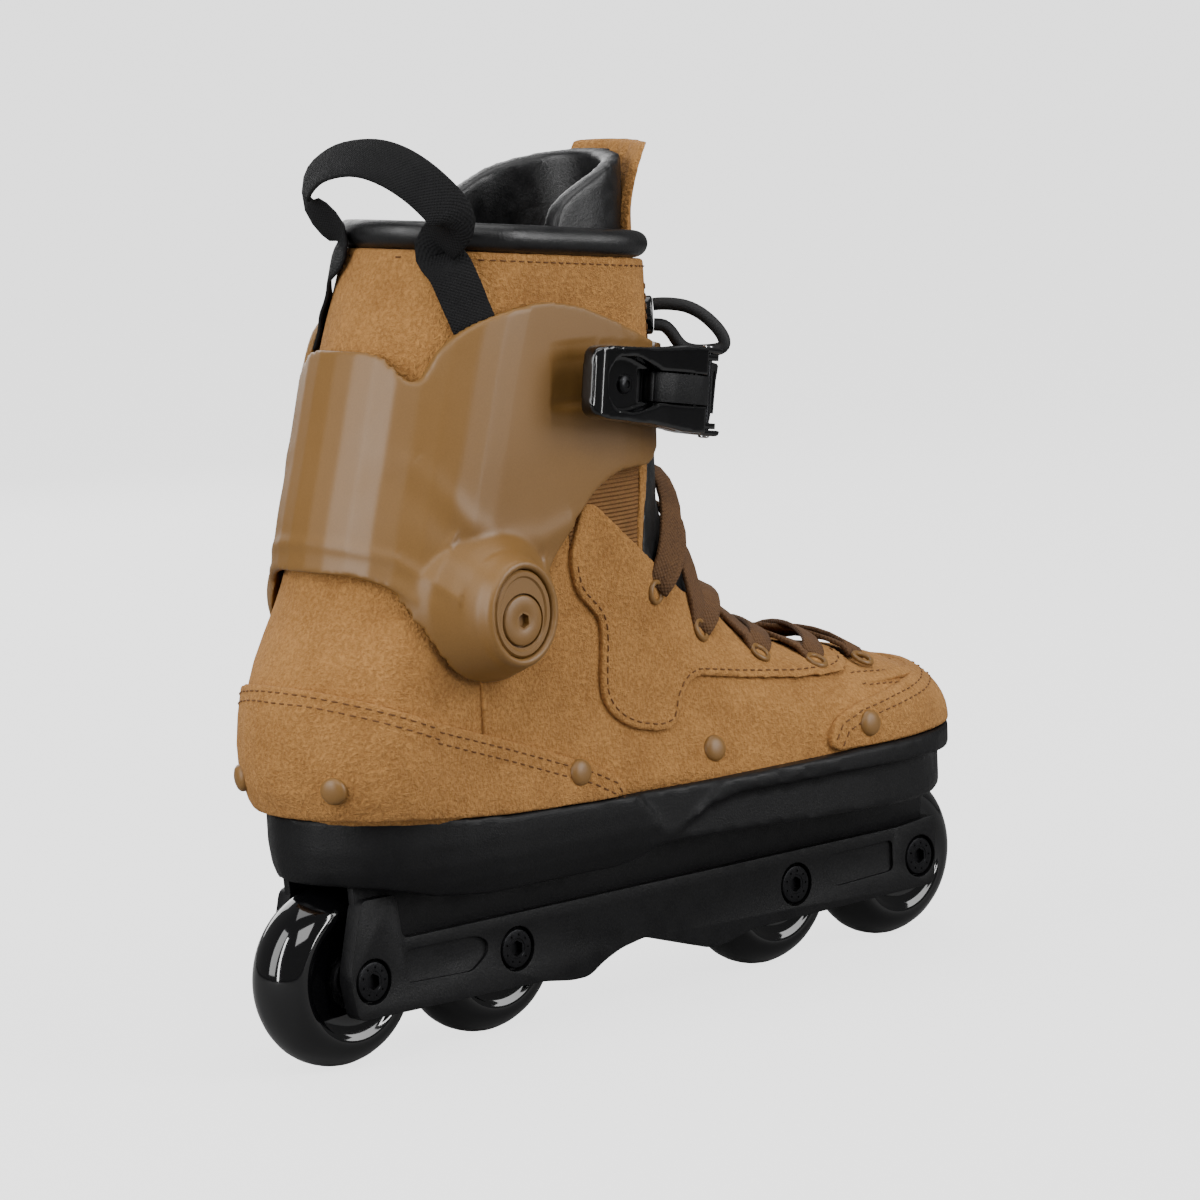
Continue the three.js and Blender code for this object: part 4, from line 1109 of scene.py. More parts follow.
    def stitches(self) -> None:
        """The double rows on the counter and the toe cap, and the single row round each eyestay."""
        rows = []
        edge = [(x, z) for x, z in self.COUNTER_TOP if x > -116]
        for side in Side:
            for drop in (2.6, 6.0):
                rows += stitched(self.last, [(x - drop * 0.3, z - drop) for x, z in edge], side, self.overlay,
                    3.8, 2.8)
                cap = [(x + drop * 0.7, z - drop * 0.8) for x, z in self.CAP_EDGE[1:-1]]
                rows += stitched(self.last, cap, side, self.overlay, 3.6, 2.6)
            outline = rounded(self.EYESTAY, 5)
            inset = []
            for x, z in outline[: int(len(outline) * 0.82)]:
                if z > 158:  # the tilting cuff passes here
                    continue
                at = Vector((x, z))
                inward = Vector((self.nearest_inward(outline, at)))
                inset.append(tuple(at + inward * 2.4))
            rows += stitched(self.last, inset, side, 1.8, 3.6, 2.6)
        for drop in (2.6, 6.0):
            x, line = -147.0, []
            for degrees in range(96, 266, 2):
                at, _ = self.last.around(degrees, self.counter_level(x) - drop, self.overlay, -106)
                x = at.x
                if x < -112:
                    line.append(at)
            for at, way in spaced(line, 3.8):
                radial = Vector((at.x + 106, at.y, 0)).normalized()
                place, out = self.last.touch(at + radial * 40, -radial, self.overlay)
                rows.append((place, way, out))
        dress(Bench.thread("seam_stitches", rows, 2.7, 0.34), THREAD_WITH_PAINTED_SHADE, BASE)

    def counter_level(self, x: float) -> float:
        """The level of the counter's top edge at a place along the foot."""
        for (x0, z0), (x1, z1) in zip(self.COUNTER_TOP, self.COUNTER_TOP[1:]):
            if x0 <= x <= x1:
                return z0 + (z1 - z0) * (x - x0) / (x1 - x0)
        return self.COUNTER_TOP[0][1]

    @staticmethod
    def nearest_inward(outline: Sequence[Pair], at: Vector) -> Vector:
        """The way into a closed outline from a point on it.

        Args:
            outline: The closed outline.
            at: A point on it.

        Returns:
            The direction into the outline.
        """
        spot = min(range(len(outline)), key=lambda i: (Vector(outline[i]) - at).length)
        way = Vector(outline[(spot + 1) % len(outline)]) - Vector(outline[spot - 1])
        across = Vector((way.y, -way.x)).normalized()
        area = sum(a[0] * b[1] - b[0] * a[1] for a, b in zip(outline, [*outline[1:], outline[0]]))
        return across if area < 0 else -across

    def rivets(self) -> None:
        """Eight domed rivets along the sole's edge."""
        for side in Side:
            angle, level, centre = self.HEEL_RIVET
            places = [self.last.around(180 - side.value * angle, level, self.overlay, centre)]
            places += [self.last.beside(x, z, side, grow) for x, z, grow in self.RIVETS]
            for i, (at, out) in enumerate(places):
                profile = [(self.rivet_radius, -0.6), (self.rivet_radius, 0.1),
                    (self.rivet_radius * 0.96, 0.7),
                           (self.rivet_radius * 0.8, 1.35), (self.rivet_radius * 0.5,
                               1.85), (self.rivet_radius * 0.15, 2.0)]
                turn = Vector((0, 0, 1)).rotation_difference(out).to_matrix().to_4x4()
                name = f"rivet_dome_{side.name.lower()}_{i + 1}"
                piece = Bench.turned(name, profile, 28, Matrix.Translation(at) @ turn)
                Bench.only(piece)
                bpy.ops.object.shade_smooth_by_angle(angle=math.radians(50))
                dress(piece, PLASTIC, BASE, f"rivet_{side.name.lower()}_{i + 1}")

    def build(self) -> None:
        """Makes every piece of the boot."""
        self.upper()
        self.counter()
        self.cap()
        for side in Side:
            self.eyestay(side)
        self.vamp_ridge()
        self.piping()
        self.stitches()
        self.rivets()


@dataclass
class Lacing:
    """Five pairs of eyelets and the flat lace that crosses between them."""

    last: Last
    width: float = 9.5
    thickness: float = 1.6
    ring: float = 4.4

    EYELETS: ClassVar[tuple[Pair, ...]] = ((92, 107), (68, 109.5), (43, 115.5), (15, 127), (-9, 143))

    def eyelets(self) -> None:
        """The rolled metal rings, in the boot's brown."""
        profile = [(2.5, 0.0), (2.6, 0.7), (3.2, 1.05), (4.0, 0.85), (4.4, 0.1), (4.3, -0.4), (2.5, -0.4),
            (2.5, 0.0)]
        pieces = []
        for side in Side:
            for x, z in self.EYELETS:
                at, out = self.last.beside(x, z, side, 1.9)
                turn = Vector((0, 0, 1)).rotation_difference(out).to_matrix().to_4x4()
                piece = Bench.turned("eyelet", profile, 24, Matrix.Translation(at) @ turn)
                Bench.only(piece)
                bpy.ops.object.shade_smooth()
                pieces.append(piece)
        dress(Bench.joined("eyelet_rings", pieces), PLASTIC, BASE)

    def bar(self, name: str, start: Pair, end: Pair, lift: float) -> bpy.types.Object:
        """One stretch of lace from an outer eyelet over the instep to an inner one.

        Args:
            name: The piece's name.
            start: The outer eyelet, in X and Z.
            end: The inner eyelet, in X and Z.
            lift: How high the lace bows over the instep.

        Returns:
            The new piece.
        """
        first, _ = self.last.beside(*start, Side.OUTER, 0)
        final, _ = self.last.beside(*end, Side.INNER, 0)
        stations = []
        count = 20
        for i in range(count + 1):
            share = i / count
            target = first.lerp(final, share)
            up = Vector((0.45, (share - 0.5) * 1.9, 0.9)).normalized()
            rise = math.sin(math.pi * share)
            dip = -2.2 * (1 - min(1, min(share, 1 - share) * 12))
            at, _ = self.last.touch(target + up * 70, -up, 3.2)
            stations.append((at + up * (lift * rise + dip), up))
        return Bench.band(name, stations, self.width, self.thickness, 0.5)

    def build(self) -> None:
        """Makes the eyelets and all the lace."""
        self.eyelets()
        bars = [self.bar("bar_0", self.EYELETS[0], self.EYELETS[0], 0.6)]
        for i in range(len(self.EYELETS) - 1):
            bars.append(self.bar(f"under_{i}", self.EYELETS[i], self.EYELETS[i + 1], 0.3))
            bars.append(self.bar(f"over_{i}", self.EYELETS[i + 1], self.EYELETS[i], 2.1))
        bars.append(self.bar("top_bar", self.EYELETS[4], (4, 152), 3.6))
        dress(Bench.joined("lace", bars), LACE, BASE, "boot_lace")


# ---------------------------------------------------------------- the liner


@dataclass
class Liner:
    """The liner's shaft, collar, tongue, gusset, pull loop and cord."""

    last: Last
    blend_low: float = 168.0
    blend_high: float = 200.0

    def bend(self, piece: bpy.types.Object) -> None:
        """Bakes a piece's transform into its mesh."""
        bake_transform(piece)

    def shaft(self) -> None:
        """The suede shaft."""
        piece = self.last.shell("shaft", -0.3, -5.6)
        top = [(-170, 275), (-118, 268.5), (-97, 264), (-45, 258.5), (5, 253), (60, 247)]
        outline = [*top, (60, 172), (-10, 168), (-50, 160), (-125, 150), (-170, 150)]
        Bench.carve(piece, Bench.prism("window", outline, -WIDE, WIDE), Cut.KEEP)
        Bench.carve(piece, Bench.block("slit", (-22, -14, 0), (60, 14, 400)), Cut.TAKE_AWAY)
        Bench.soften(piece, 1.1, 2)
        dress(piece, SUEDE, None, "liner_shaft")
        self.bend(piece)

    def collar(self) -> None:
        """The padded leather roll round the top."""
        rings = []
        path = []
        for degrees in range(-158, 159, 6):
            turn = degrees + 180
            x_guess = -45 + 50 * math.cos(math.radians(turn))
            for _ in range(3):
                level = 253 + (5 - x_guess) * 0.108 + 4.6
                at, out = self.last.around(turn, level, -1.8, -45)
                x_guess = at.x
            path.append((at, out))
        for i, (at, out) in enumerate(path):
            ends = min(1.0, 0.45 + min(i, len(path) - 1 - i) * 0.25)
            up = Vector((0.1, 0, 1)).normalized()
            ring = []
            for k in range(16):
                turn = 2 * math.pi * k / 16
                puff = 1 + 0.05 * math.cos(2 * turn)
                ring.append(at + out * math.cos(turn) * 4.6 * puff * ends + up * math.sin(turn) * 5.0 * puff * ends)
            rings.append(ring)
        piece = Bench.loft("collar_roll", rings)
        Bench.round_over(piece, 1)
        dress(piece, LEATHER, CUFF, "liner_collar")

    def collar_seam(self) -> None:
        """The rows of stitches under the collar and down the front."""
        rows = []
        for side in Side:
            line = [(x, 253 + (5 - x) * 0.108 - 2.6) for x in range(-108, 4, 2)]
            rows += stitched(self.last, line, side, -0.2, 3.4, 2.5)
            front = [(-3.5, z) for z in range(226, 250, 2)]
            rows += stitched(self.last, front, side, -0.2, 3.4, 2.5)
        dress(Bench.thread("shaft_stitches", rows, 2.5, 0.33), THREAD_WITH_PAINTED_SHADE, CUFF)

    def gusset(self) -> None:
        """The ribbed elastic between the eyestay and the tongue, with a suede strip ahead of it."""
        piece = self.last.shell("gusset", 0.35, -1.2)
        outline = [(-52, 200), (-50, 160), (-34, 152), (-10, 140), (-14.5, 165), (-14, 205)]
        Bench.carve(piece, Bench.prism("window", outline, -WIDE, WIDE), Cut.KEEP)
        Bench.soften(piece, 0.9, 1)
        dress(piece, RIBBED, None)
        self.bend(piece)
        strip = self.last.shell("gusset_strip", 1.1, -1.2)
        band = [(-17, 146), (-15.4, 146), (-8, 205), (-15.5, 205)]
        Bench.carve(strip, Bench.prism("window", band, -WIDE, WIDE), Cut.KEEP)
        Bench.soften(strip, 0.8, 2)
        dress(strip, SUEDE, None)
        self.bend(strip)
        edge = self.last.shell("tongue_edge", 0.9, -2.4)
        front = [(-15.8, 143), (-8.4, 205), (30, 205), (30, 150), (22, 132), (2, 128)]
        Bench.carve(edge, Bench.prism("window", front, -WIDE, WIDE), Cut.KEEP)
        Bench.carve(edge, Bench.block("middle", (-60, -12, 0), (60, 12, 400)), Cut.TAKE_AWAY)
        Bench.soften(edge, 0.8, 4)
        dress(edge, LEATHER, None)
        self.bend(edge)

    def tongue(self) -> None:
        """The padded tongue: a leather back and edge, and a suede face that flares at the top."""
        pad = self.last.shell("tongue_pad", -6.6, -13.4)
        wide = [(-45, 192), (-45, 270), (-38, 277), (-20, 285), (0, 290), (14, 291), (60, 291), (60, 186),
            (20, 182), (-24, 186)]
        Bench.carve(pad, Bench.prism("window", rounded(wide, 8), -WIDE, WIDE), Cut.KEEP)
        Bench.soften(pad, 1.3, 8)
        dress(pad, LEATHER, None)
        self.bend(pad)
        strip = self.last.shell("tongue_strip", -0.4, -9)
        narrow = [(86, 99), (86, 130), (60, 150), (30, 200), (-24, 200), (-24, 150), (20, 119), (60, 99)]
        Bench.carve(strip, Bench.prism("window", narrow, -13.6, 13.6), Cut.KEEP)
        Bench.soften(strip, 1.1, 5)
        dress(strip, LEATHER, None, "tongue")
        self.bend(strip)
        middle = self.last.shell("tongue_middle", 0.4, -3)
        Bench.carve(middle, Bench.prism("window", narrow, -9.8, 9.8), Cut.KEEP)
        Bench.soften(middle, 0.9, 3)
        dress(middle, SUEDE, None)
        self.bend(middle)
        face = self.last.shell("tongue_face", -3.6, -7.2)
        front = [(-14, 196), (-12, 250), (-9, 268), (-5, 281), (-3, 291.5), (6, 292.5), (40, 290), (40, 196)]
        Bench.carve(face, Bench.prism("window", front, -WIDE, WIDE), Cut.KEEP)
        Bench.carve(face, Bench.block("far_side", (-60, 14, 268), (60, 60, 400)), Cut.TAKE_AWAY)
        Bench.soften(face, 0.9, 2)
        for vertex in face.data.vertices:
            x, _, z = vertex.co / MM
            lift = max(0.0, z - 268) / 24
            vertex.co.x += (7.5 * lift * lift + 0.4 * math.sin(vertex.co.y * 900) * lift) * MM
            vertex.co.y *= 1 + 0.05 * lift
        dress(face, SUEDE, None)
        self.bend(face)

    def pull_loop(self) -> None:
        """The webbing loop over the back of the collar."""
        stations = []
        for z, away in ((232, 0.95), (238, 0.95), (244, 1.0), (250, 1.5), (257, 2.2), (264, 2.4)):
            stations.append(self.last.beside(-84 - (z - 232) * 0.22, z, Side.OUTER, away))
        for x, y, z, nx, ny, nz in (
            (-95, -37.5, 273, -0.6, -0.78, 0.1), (-99.5, -32, 283, -0.8, -0.5, 0.3), (-103.5, -20, 291, -0.78,
                -0.2, 0.55),
            (-105, -5, 293.8, -0.75, 0, 0.66), (-104, 14, 290.5, -0.8, 0.25, 0.54), (-102, 25, 281, -0.85,
                0.45, 0.25),
        ):
            stations.append((Vector((x, y, z)), Vector((nx, ny, nz)).normalized()))
        for z, away in ((266, 2.4), (257, 2.2), (250, 1.5), (244, 1.0), (238, 0.95), (232, 0.95)):
            stations.append(self.last.beside(-92 - (z - 232) * 0.12, z, Side.INNER, away))
        rows = spline([(*at, *out) for at, out in stations], 5)
        path = [(Vector(r[:3]), Vector(r[3:]).normalized()) for r in rows]
        piece = Bench.band("pull_loop_band", path, 15, 1.3, 0.5)
        dress(piece, WEBBING, CUFF, "pull_loop")

    # Distance out from the tab's face, then the level, in millimetres.
    CORD_ROUTE: ClassVar[tuple[Pair, ...]] = (
        (0.3, 238), (3, 238.1), (7, 237.8), (11.5, 236.8), (16, 234.4), (20, 230.8), (22.8, 227), (23.6, 224),
        (22, 222.3), (18, 221.8), (13.5, 222), (10, 223.2), (7.8, 225.5), (6, 228.4), (3.6, 230.7), (0.3,
            231.2),
    )

    def cord(self) -> None:
        """The thin cord loop that stands out of its tab at the front."""
        at, out = self.last.around(-40, 234.5, 0.3, -28)
        out = Vector((out.x, out.y, 0)).normalized()
        route = spline([(*(at + out * (away + 1.6)).to_2d(), z) for away, z in self.CORD_ROUTE], 3)
        curve = bpy.data.curves.new("cord_loop", "CURVE")
        curve.dimensions = "3D"
        line = curve.splines.new("POLY")
        line.points.add(len(route) - 1)
        for point, place in zip(line.points, route):
            point.co = (*[v * MM for v in place], 1)
        curve.bevel_depth = 2.2 * MM
        curve.bevel_resolution = 3
        curve.use_fill_caps = True
        piece = bpy.data.objects.new("cord_loop", curve)
        bpy.context.scene.collection.objects.link(piece)
        dress_cord(piece, route)

    def tab(self) -> None:
        """The oval tab that holds the cord's two ends."""
        at, out = self.last.around(-40, 234.5, 0.3, -28)
        out = Vector((out.x, out.y, 0)).normalized()
        turn = Matrix((out.cross(Vector((0, 0, 1))), Vector((0, 0, 1)), out)).transposed().to_4x4()
        stretch = Matrix.Diagonal((1, 6.5 / 4.5, 1, 1))
        profile = [(4.5, -2.4), (4.5, 1.0), (4.2, 1.5), (3.7, 1.7), (2.4, 1.2), (0.9, 1.2)]
        piece = Bench.turned("cord_tab_plate", profile, 32, Matrix.Translation(at) @ turn @ stretch)
        Bench.only(piece)
        bpy.ops.object.shade_smooth_by_angle(angle=math.radians(40))
        dress(piece, GLOSS_BLACK, CUFF, "cord_tab")

    def build(self) -> None:
        """Makes every piece of the liner."""
        self.shaft()
        self.collar()
        self.collar_seam()
        self.gusset()
        self.tongue()
        self.pull_loop()
        self.tab()


def dress_cord(piece: bpy.types.Object, route: Sequence[Vector]) -> None:
    """Args:
        piece: The finished cord.
        route: The cord's middle line, in millimetres.
    """
    piece.data.materials.append(CORD.material())
    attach(piece, CUFF)
    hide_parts("liner_cord")
    length = sum((b - a).length for a, b in zip(route, route[1:])) * MM


# ---------------------------------------------------------------- the cuff


@dataclass
class Cuff:
    """The moulded cuff with its two pivots."""

    last: Last
    gap: float = 2.2
    wall: float = 2.6
    pivot: Pair = (-88, 145)
    face: float = 56.0
    rise: float = 2.2
    oval: Pair = (12.5, 14.5)
    rim: float = 2.0

    SIDE_LINE: ClassVar[tuple[Pair, ...]] = (
        (-150, 160), (-131, 163), (-123, 159), (-117, 152), (-112, 147), (-105, 139), (-100, 130), (-88,
            126), (-78, 130),
        (-68, 148), (-63, 157), (-56, 165), (-49, 174), (-42, 181), (-31, 186.5), (-12, 187), (-6, 198), (60,
            198),
        (60, 223), (4, 225), (-12, 228), (-30, 236), (-45, 242), (-61, 245), (-77, 243), (-90, 239), (-98,
            233),
        (-102, 226), (-105, 222), (-108, 223), (-110, 231), (-113, 232.5), (-150, 233),
    )

    def oval_ring(self, y: float, wide: float, high: float, rise: float) -> list[Vector]:
        """An upright oval about the pivot."""
        x, z = self.pivot
        return [
            Vector((x + wide * math.cos(turn), y, z + rise + high * math.sin(turn)))
            for turn in (2 * math.pi * i / 56 for i in range(56))
        ]

    def shell(self) -> None:
        """The cuff's moulded shell with its bosses, creases and edges."""
        outside = self.gap + self.wall
        piece = self.last.body("cuff_shell", outside)
        Bench.carve(piece, Bench.prism("window", rounded(self.SIDE_LINE, 5), -WIDE, WIDE), Cut.KEEP)
        wide, high = self.oval
        for side in Side:
            s = side.value
            boss = Bench.loft("boss", [
                self.oval_ring(s * 30, 33, 30, 5), self.oval_ring(s * 40.5, 27, 25, 4), self.oval_ring(s * 44,
                    22.5, 22.5, 3),
                self.oval_ring(s * 47.5, 19, 20.5, self.rise), self.oval_ring(s * 51, wide + 4, high + 4.4,
                    self.rise),
                self.oval_ring(s * (self.face - 1.4), wide + 3, high + 3, self.rise),
                self.oval_ring(s * self.face, wide + self.rim, high + self.rim, self.rise),
            ])
            Bench.carve(piece, boss, Cut.ADD)
        Bench.carve(piece, self.last.body("inside", self.gap), Cut.TAKE_AWAY)
        Bench.carve(piece, Bench.block("parting", (-9, -60, 150), (60, -27, 400)), Cut.TAKE_AWAY)
        for side in Side:
            s = side.value
            floor = s * (self.face - 5)
            recess = Bench.loft("recess", [self.oval_ring(floor, wide, high, self.rise),
                self.oval_ring(s * 70, wide, high, self.rise)])
            Bench.carve(piece, recess, Cut.TAKE_AWAY)
        Bench.soften(piece, 0.95, 3)
        self.crease(piece)
        dress(piece, PLASTIC, CUFF, "cuff")

    def crease(self, piece: bpy.types.Object) -> None:
        """Presses the soft channels and steps into the cuff's outer face.

        Args:
            piece: The cuff's shell, already even in its faces.
        """
        step = [(-60, 211), (-40, 210.5), (-20, 208), (0, 205), (20, 202)]
        sweep = [(-128, 205), (-112, 196), (-98, 178), (-84, 169), (-66, 168), (-52, 172)]
        skirt = [(-150, 171), (-132, 172), (-120, 167), (-110, 157), (-104, 150)]

        def depth_from(path: Sequence[Pair], at: Vector) -> float:
            """Signed height above a path, in millimetres, or a large number past its ends."""
            best = 1e9
            for (x0, z0), (x1, z1) in zip(path, path[1:]):
                way = Vector((x1 - x0, z1 - z0))
                rel = Vector((at.x - x0, at.y - z0))
                share = rel.dot(way) / way.length_squared
                if -0.02 <= share <= 1.02:
                    height = (rel.y * way.x - rel.x * way.y) / way.length
                    best = height if abs(height) < abs(best) else best
            return best

        facing = [(vertex.normal.x, vertex.normal.y) for vertex in piece.data.vertices]
        for vertex, across in zip(piece.data.vertices, facing):
            x, y, z = vertex.co / MM
            if abs(y) < 12 and x > -60:
                continue
            out = Vector((*across, 0))
            radial = Vector((x + 55, y * 1.4, 0))
            if out.dot(radial) <= 0 or out.length < 0.5:
                continue
            out.normalize()
            at = Vector((x, z))
            move = 0.0
            high = depth_from(step, at)
            if abs(high) < 20 and y < 0:
                move -= 1.5 * (1 / (1 + math.exp(-high * 1.6))) * max(0.0,
                    min(1.0, (x + 62) / 10)) * math.exp(-max(high - 14, 0) * 0.3)
                move -= 0.8 * math.exp(-((high / 1.3) ** 2)) * max(0.0, min(1.0, (x + 64) / 12))
            low = depth_from(sweep, at)
            if abs(low) < 16:
                fade = max(0.0, min(1.0, (x + 122) / 22))
                move += fade * (0.6 * math.exp(-(low / 4.0) ** 2) - 0.6 * math.exp(-((low + 7.5) / 4.5) ** 2))
            hem = depth_from(skirt, at)
            if abs(hem) < 12:
                move += 0.55 * math.exp(-(hem / 2.2) ** 2)
            if math.hypot(x - self.pivot[0], z - self.pivot[1] - self.rise) < 20:
                continue
            vertex.co += out * move * MM

    def pivots(self) -> None:
        """The oval insert, the bolt and its socket on each side."""
        x, z = self.pivot
        wide, high = self.oval
        for side in Side:
            s = side.value
            name = side.name.lower()
            floor = s * (self.face - 4.7)
            top = s * (self.face - 1.0)
            plate = Bench.loft(f"pivot_insert_{name}", [
                self.oval_ring(floor, wide - 0.35, high - 0.35, self.rise),
                self.oval_ring(top - s * 0.7, wide - 0.35, high - 0.35, self.rise),
                self.oval_ring(top, wide - 1.0, high - 1.0, self.rise),
                self.oval_ring(top, wide - 2.3, high - 2.3, self.rise),
                self.oval_ring(top - s * 0.55, wide - 2.9, high - 2.9, self.rise),
            ])
            low, far = sorted((s * (self.face - 3.4), s * 70))
            Bench.carve(plate, Bench.bar("seat", 8.8, (x, z), low, far, 48), Cut.TAKE_AWAY)
            Bench.only(plate)
            bpy.ops.object.shade_smooth_by_angle(angle=math.radians(30))
            dress(plate, PLASTIC, CUFF, f"cuff_insert_{name}")
            turn = Matrix.Rotation(-s * math.pi / 2, 4, "X")
            head = [(8.2, 51.4), (8.2, 54.2), (7.9, 54.7), (7.2, 55.0), (3.6, 55.1), (3.2, 54.9), (2.7, 54.9)]
            piece = Bench.turned(f"pivot_bolt_{name}", head, 48, Matrix.Translation((x, 0, z)) @ turn)
            low, far = sorted((s * 52.8, s * 70))
            Bench.carve(piece, Bench.bar("socket", 2.5, (x, z), low, far, 6), Cut.TAKE_AWAY)
            Bench.only(piece)
            bpy.ops.object.shade_smooth_by_angle(angle=math.radians(30))
            dress(piece, PLASTIC, BASE, f"cuff_bolt_{name}")

    def build(self) -> None:
        """Makes the cuff and its pivots."""
        self.shell()
        self.pivots()


# ---------------------------------------------------------------- buckle and strap


@dataclass
class Buckle:
    """The ratchet buckle, made flat and then set on the cuff, and its toothed strap."""

    last: Last
    joints: dict[str, dict]
    turn: float = 8.0
    slope: float = 9.0
    pin: Pair = (28, 7.5)
    pawl: Pair = (14, 8.6)
    strap_width: float = 20.0
    strap_low: float = 2.8
    strap_thickness: float = 2.4
    shin: float = -28.0

    # Round the front of the cuff: the angle from +X, the level, and the distance out from the cuff.
    ROUTE: ClassVar[tuple[tuple[float, float, float], ...]] = (
        (-44, 206, 11.5), (-30, 205.5, 9), (-12, 205, 5.5), (8, 205, 3.4), (35, 207, 2.6), (62, 210,
            2.4), (88, 213, 2.4),
        (104, 214.5, 2.4),
    )

    def place(self) -> Matrix:
        """Where the flat buckle goes: u along X, out of the cuff along -Y, w along Z, in millimetres.

        Returns:
            The buckle's place, in millimetres.
        """
        turn = Matrix.Rotation(math.radians(self.turn), 4, "Z") @ Matrix.Rotation(math.radians(self.slope), 4,
            "Y")
        pin = Vector(self.joints["lever_open"]["pos_m"]) / MM
        return Matrix.Translation(pin - turn @ Vector((self.pin[0], -self.pin[1], 0))) @ turn

    def seat(self, piece: bpy.types.Object) -> bpy.types.Object:
        """Sets a flat-made piece on the cuff.

        Args:
            piece: A piece made flat.

        Returns:
            The same piece, set on the cuff.
        """
        place = self.place()
        place.translation *= MM
        piece.data.transform(place)
        return piece

    def plate(self, name: str, outline: Sequence[Pair], low: float, high: float) -> bpy.types.Object:
        """An outline in u and w, with a thickness outwards."""
        return Bench.prism(name, outline, -high, -low)

    def rod(self, name: str, radius: float, at: Pair, half: float, sides: int = 28) -> bpy.types.Object:
        """A round bar across the buckle."""
        profile = [(radius * 0.8, -half), (radius, -half + 0.3), (radius, half - 0.3), (radius * 0.8, half)]
        return Bench.turned(name, profile, sides, Matrix.Translation((at[0], -at[1], 0)))

    def base(self) -> None:
        """The base plate with its two cheeks."""
        floor = self.plate("buckle_base_body", rounded([(-13, -12.3), (-13, 12.3), (33, 12.3), (33, -12.3)],
            3), 0, 2.2)
        for side in (-1, 1):
            low, high = sorted((side * 10.4, side * 12.3))
            cheek = Bench.prism("cheek", rounded([(11, 0.5), (11, 8), (14, 10), (31, 10), (33, 8), (33, 0.5)],
                2.2), 0, 1)
            turn = Matrix(((1, 0, 0, 0), (0, 0, -1, 0), (0, high - low, 0, low * MM), (0, 0, 0, 1)))
            cheek.data.transform(turn)
            Bench.carve(floor, cheek, Cut.ADD)
        for at in (self.pin, self.pawl):
            Bench.carve(floor, self.rod("hole", 1.75, at, 20), Cut.TAKE_AWAY)
        Bench.bevel(floor, 0.35)
        dress(self.seat(floor), GLOSS_BLACK, CUFF, "buckle_base")

    def lever(self) -> None:
        """The lever: two long arms that meet in a grip at the back."""
        half = [(-36, 8), (-34.5, 11), (-30, 12.1), (-8, 12.6), (4, 13.4), (12, 14.4), (33, 14.8)]
        outline = [*half, *[(u, -w) for u, w in reversed(half)]]
        piece = self.plate("buckle_lever_body", rounded(outline, 2.5), 5.8, 10.5)
        opening = [(-5, 5.2), (5, 9), (8, 12.7), (60, 12.7)]
        window = [*opening, *[(u, -w) for u, w in reversed(opening)]]
        Bench.carve(piece, self.plate("window", rounded(window, 2.5), 0, 20), Cut.TAKE_AWAY)
        turn = Matrix(((1, 0, 0, 0), (0, 0, -1, 0), (0, 1, 0, 0), (0, 0, 0, 1)))
        crown = Bench.prism("crown", rounded([(-36.5, 6), (-36.5, 9), (-33, 12.2), (-22, 13.3), (2, 12.8),
            (22, 13.2), (22, 10.5), (0, 10.4), (-4, 6)], 1.6), -14, 14)
        crown.data.transform(turn)
        inner = [(u + (0.2 if u < 0 else -0.2), w - math.copysign(0.2, w)) for u, w in outline]
        trim = self.plate("trim", rounded(inner, 2.5), -1, 30)
        Bench.carve(crown, trim, Cut.KEEP)
        Bench.carve(piece, crown, Cut.ADD)
        slot = [(-10, -5.3), (-10, 5.3), (60, 5.3), (60, -5.3)]
        Bench.carve(piece, self.plate("slot", slot, 5.5, 30), Cut.TAKE_AWAY)
        bowl = [(-30, 4), (-26, 8.6), (-16, 9.2), (-2, 5.3)]
        bowl = [*bowl, *[(u, -w) for u, w in reversed(bowl)]]
        Bench.carve(piece, self.plate("bowl", rounded(bowl, 3), 8.2, 30), Cut.TAKE_AWAY)
        Bench.carve(piece, self.rod("hole", 1.75, self.pin, 20), Cut.TAKE_AWAY)
        Bench.soften(piece, 0.45, 4)
        dress(self.seat(piece), GLOSS_BLACK, "lever", "buckle_lever")
        stud = Bench.turned("lever_stud", [(3.2, 7.9), (3.2, 8.9), (2.6, 9.5), (1.3, 9.7), (1.1, 9.2)], 28,
                            Matrix.Translation((-17, 0, 0)) @ Matrix.Rotation(math.pi / 2, 4, "X"))
        Bench.only(stud)
        bpy.ops.object.shade_smooth_by_angle(angle=math.radians(40))
        dress(self.seat(stud), OXIDE, "lever")

    def pawl_piece(self) -> None:
        """The sprung pawl between the arms."""
        profile = rounded([(-4, 5.8), (11, 5.8), (13, 7), (25, 8), (25, 9.6), (-4, 9.6)], 1.2)
        piece = Bench.prism("buckle_pawl_body", profile, -4.8, 4.8)
        button = rounded([(-3, 8.5), (-3, 10.5), (3, 13.2), (20, 13.2), (25.6, 11), (25.6, 8.5)], 2.6)
        Bench.carve(piece, Bench.prism("button", button, -4.8, 4.8), Cut.ADD)
        piece.data.transform(Matrix(((1, 0, 0, 0), (0, 0, -1, 0), (0, 1, 0, 0), (0, 0, 0, 1))))
        Bench.carve(piece, self.rod("trunnion", 1.5, self.pawl, 12.3), Cut.ADD)
        Bench.carve(piece, self.rod("clear", 2.6, self.pin, 9), Cut.TAKE_AWAY)
        Bench.bevel(piece, 0.4, 3)
        dress(self.seat(piece), NYLON, "pawl", "buckle_pawl")

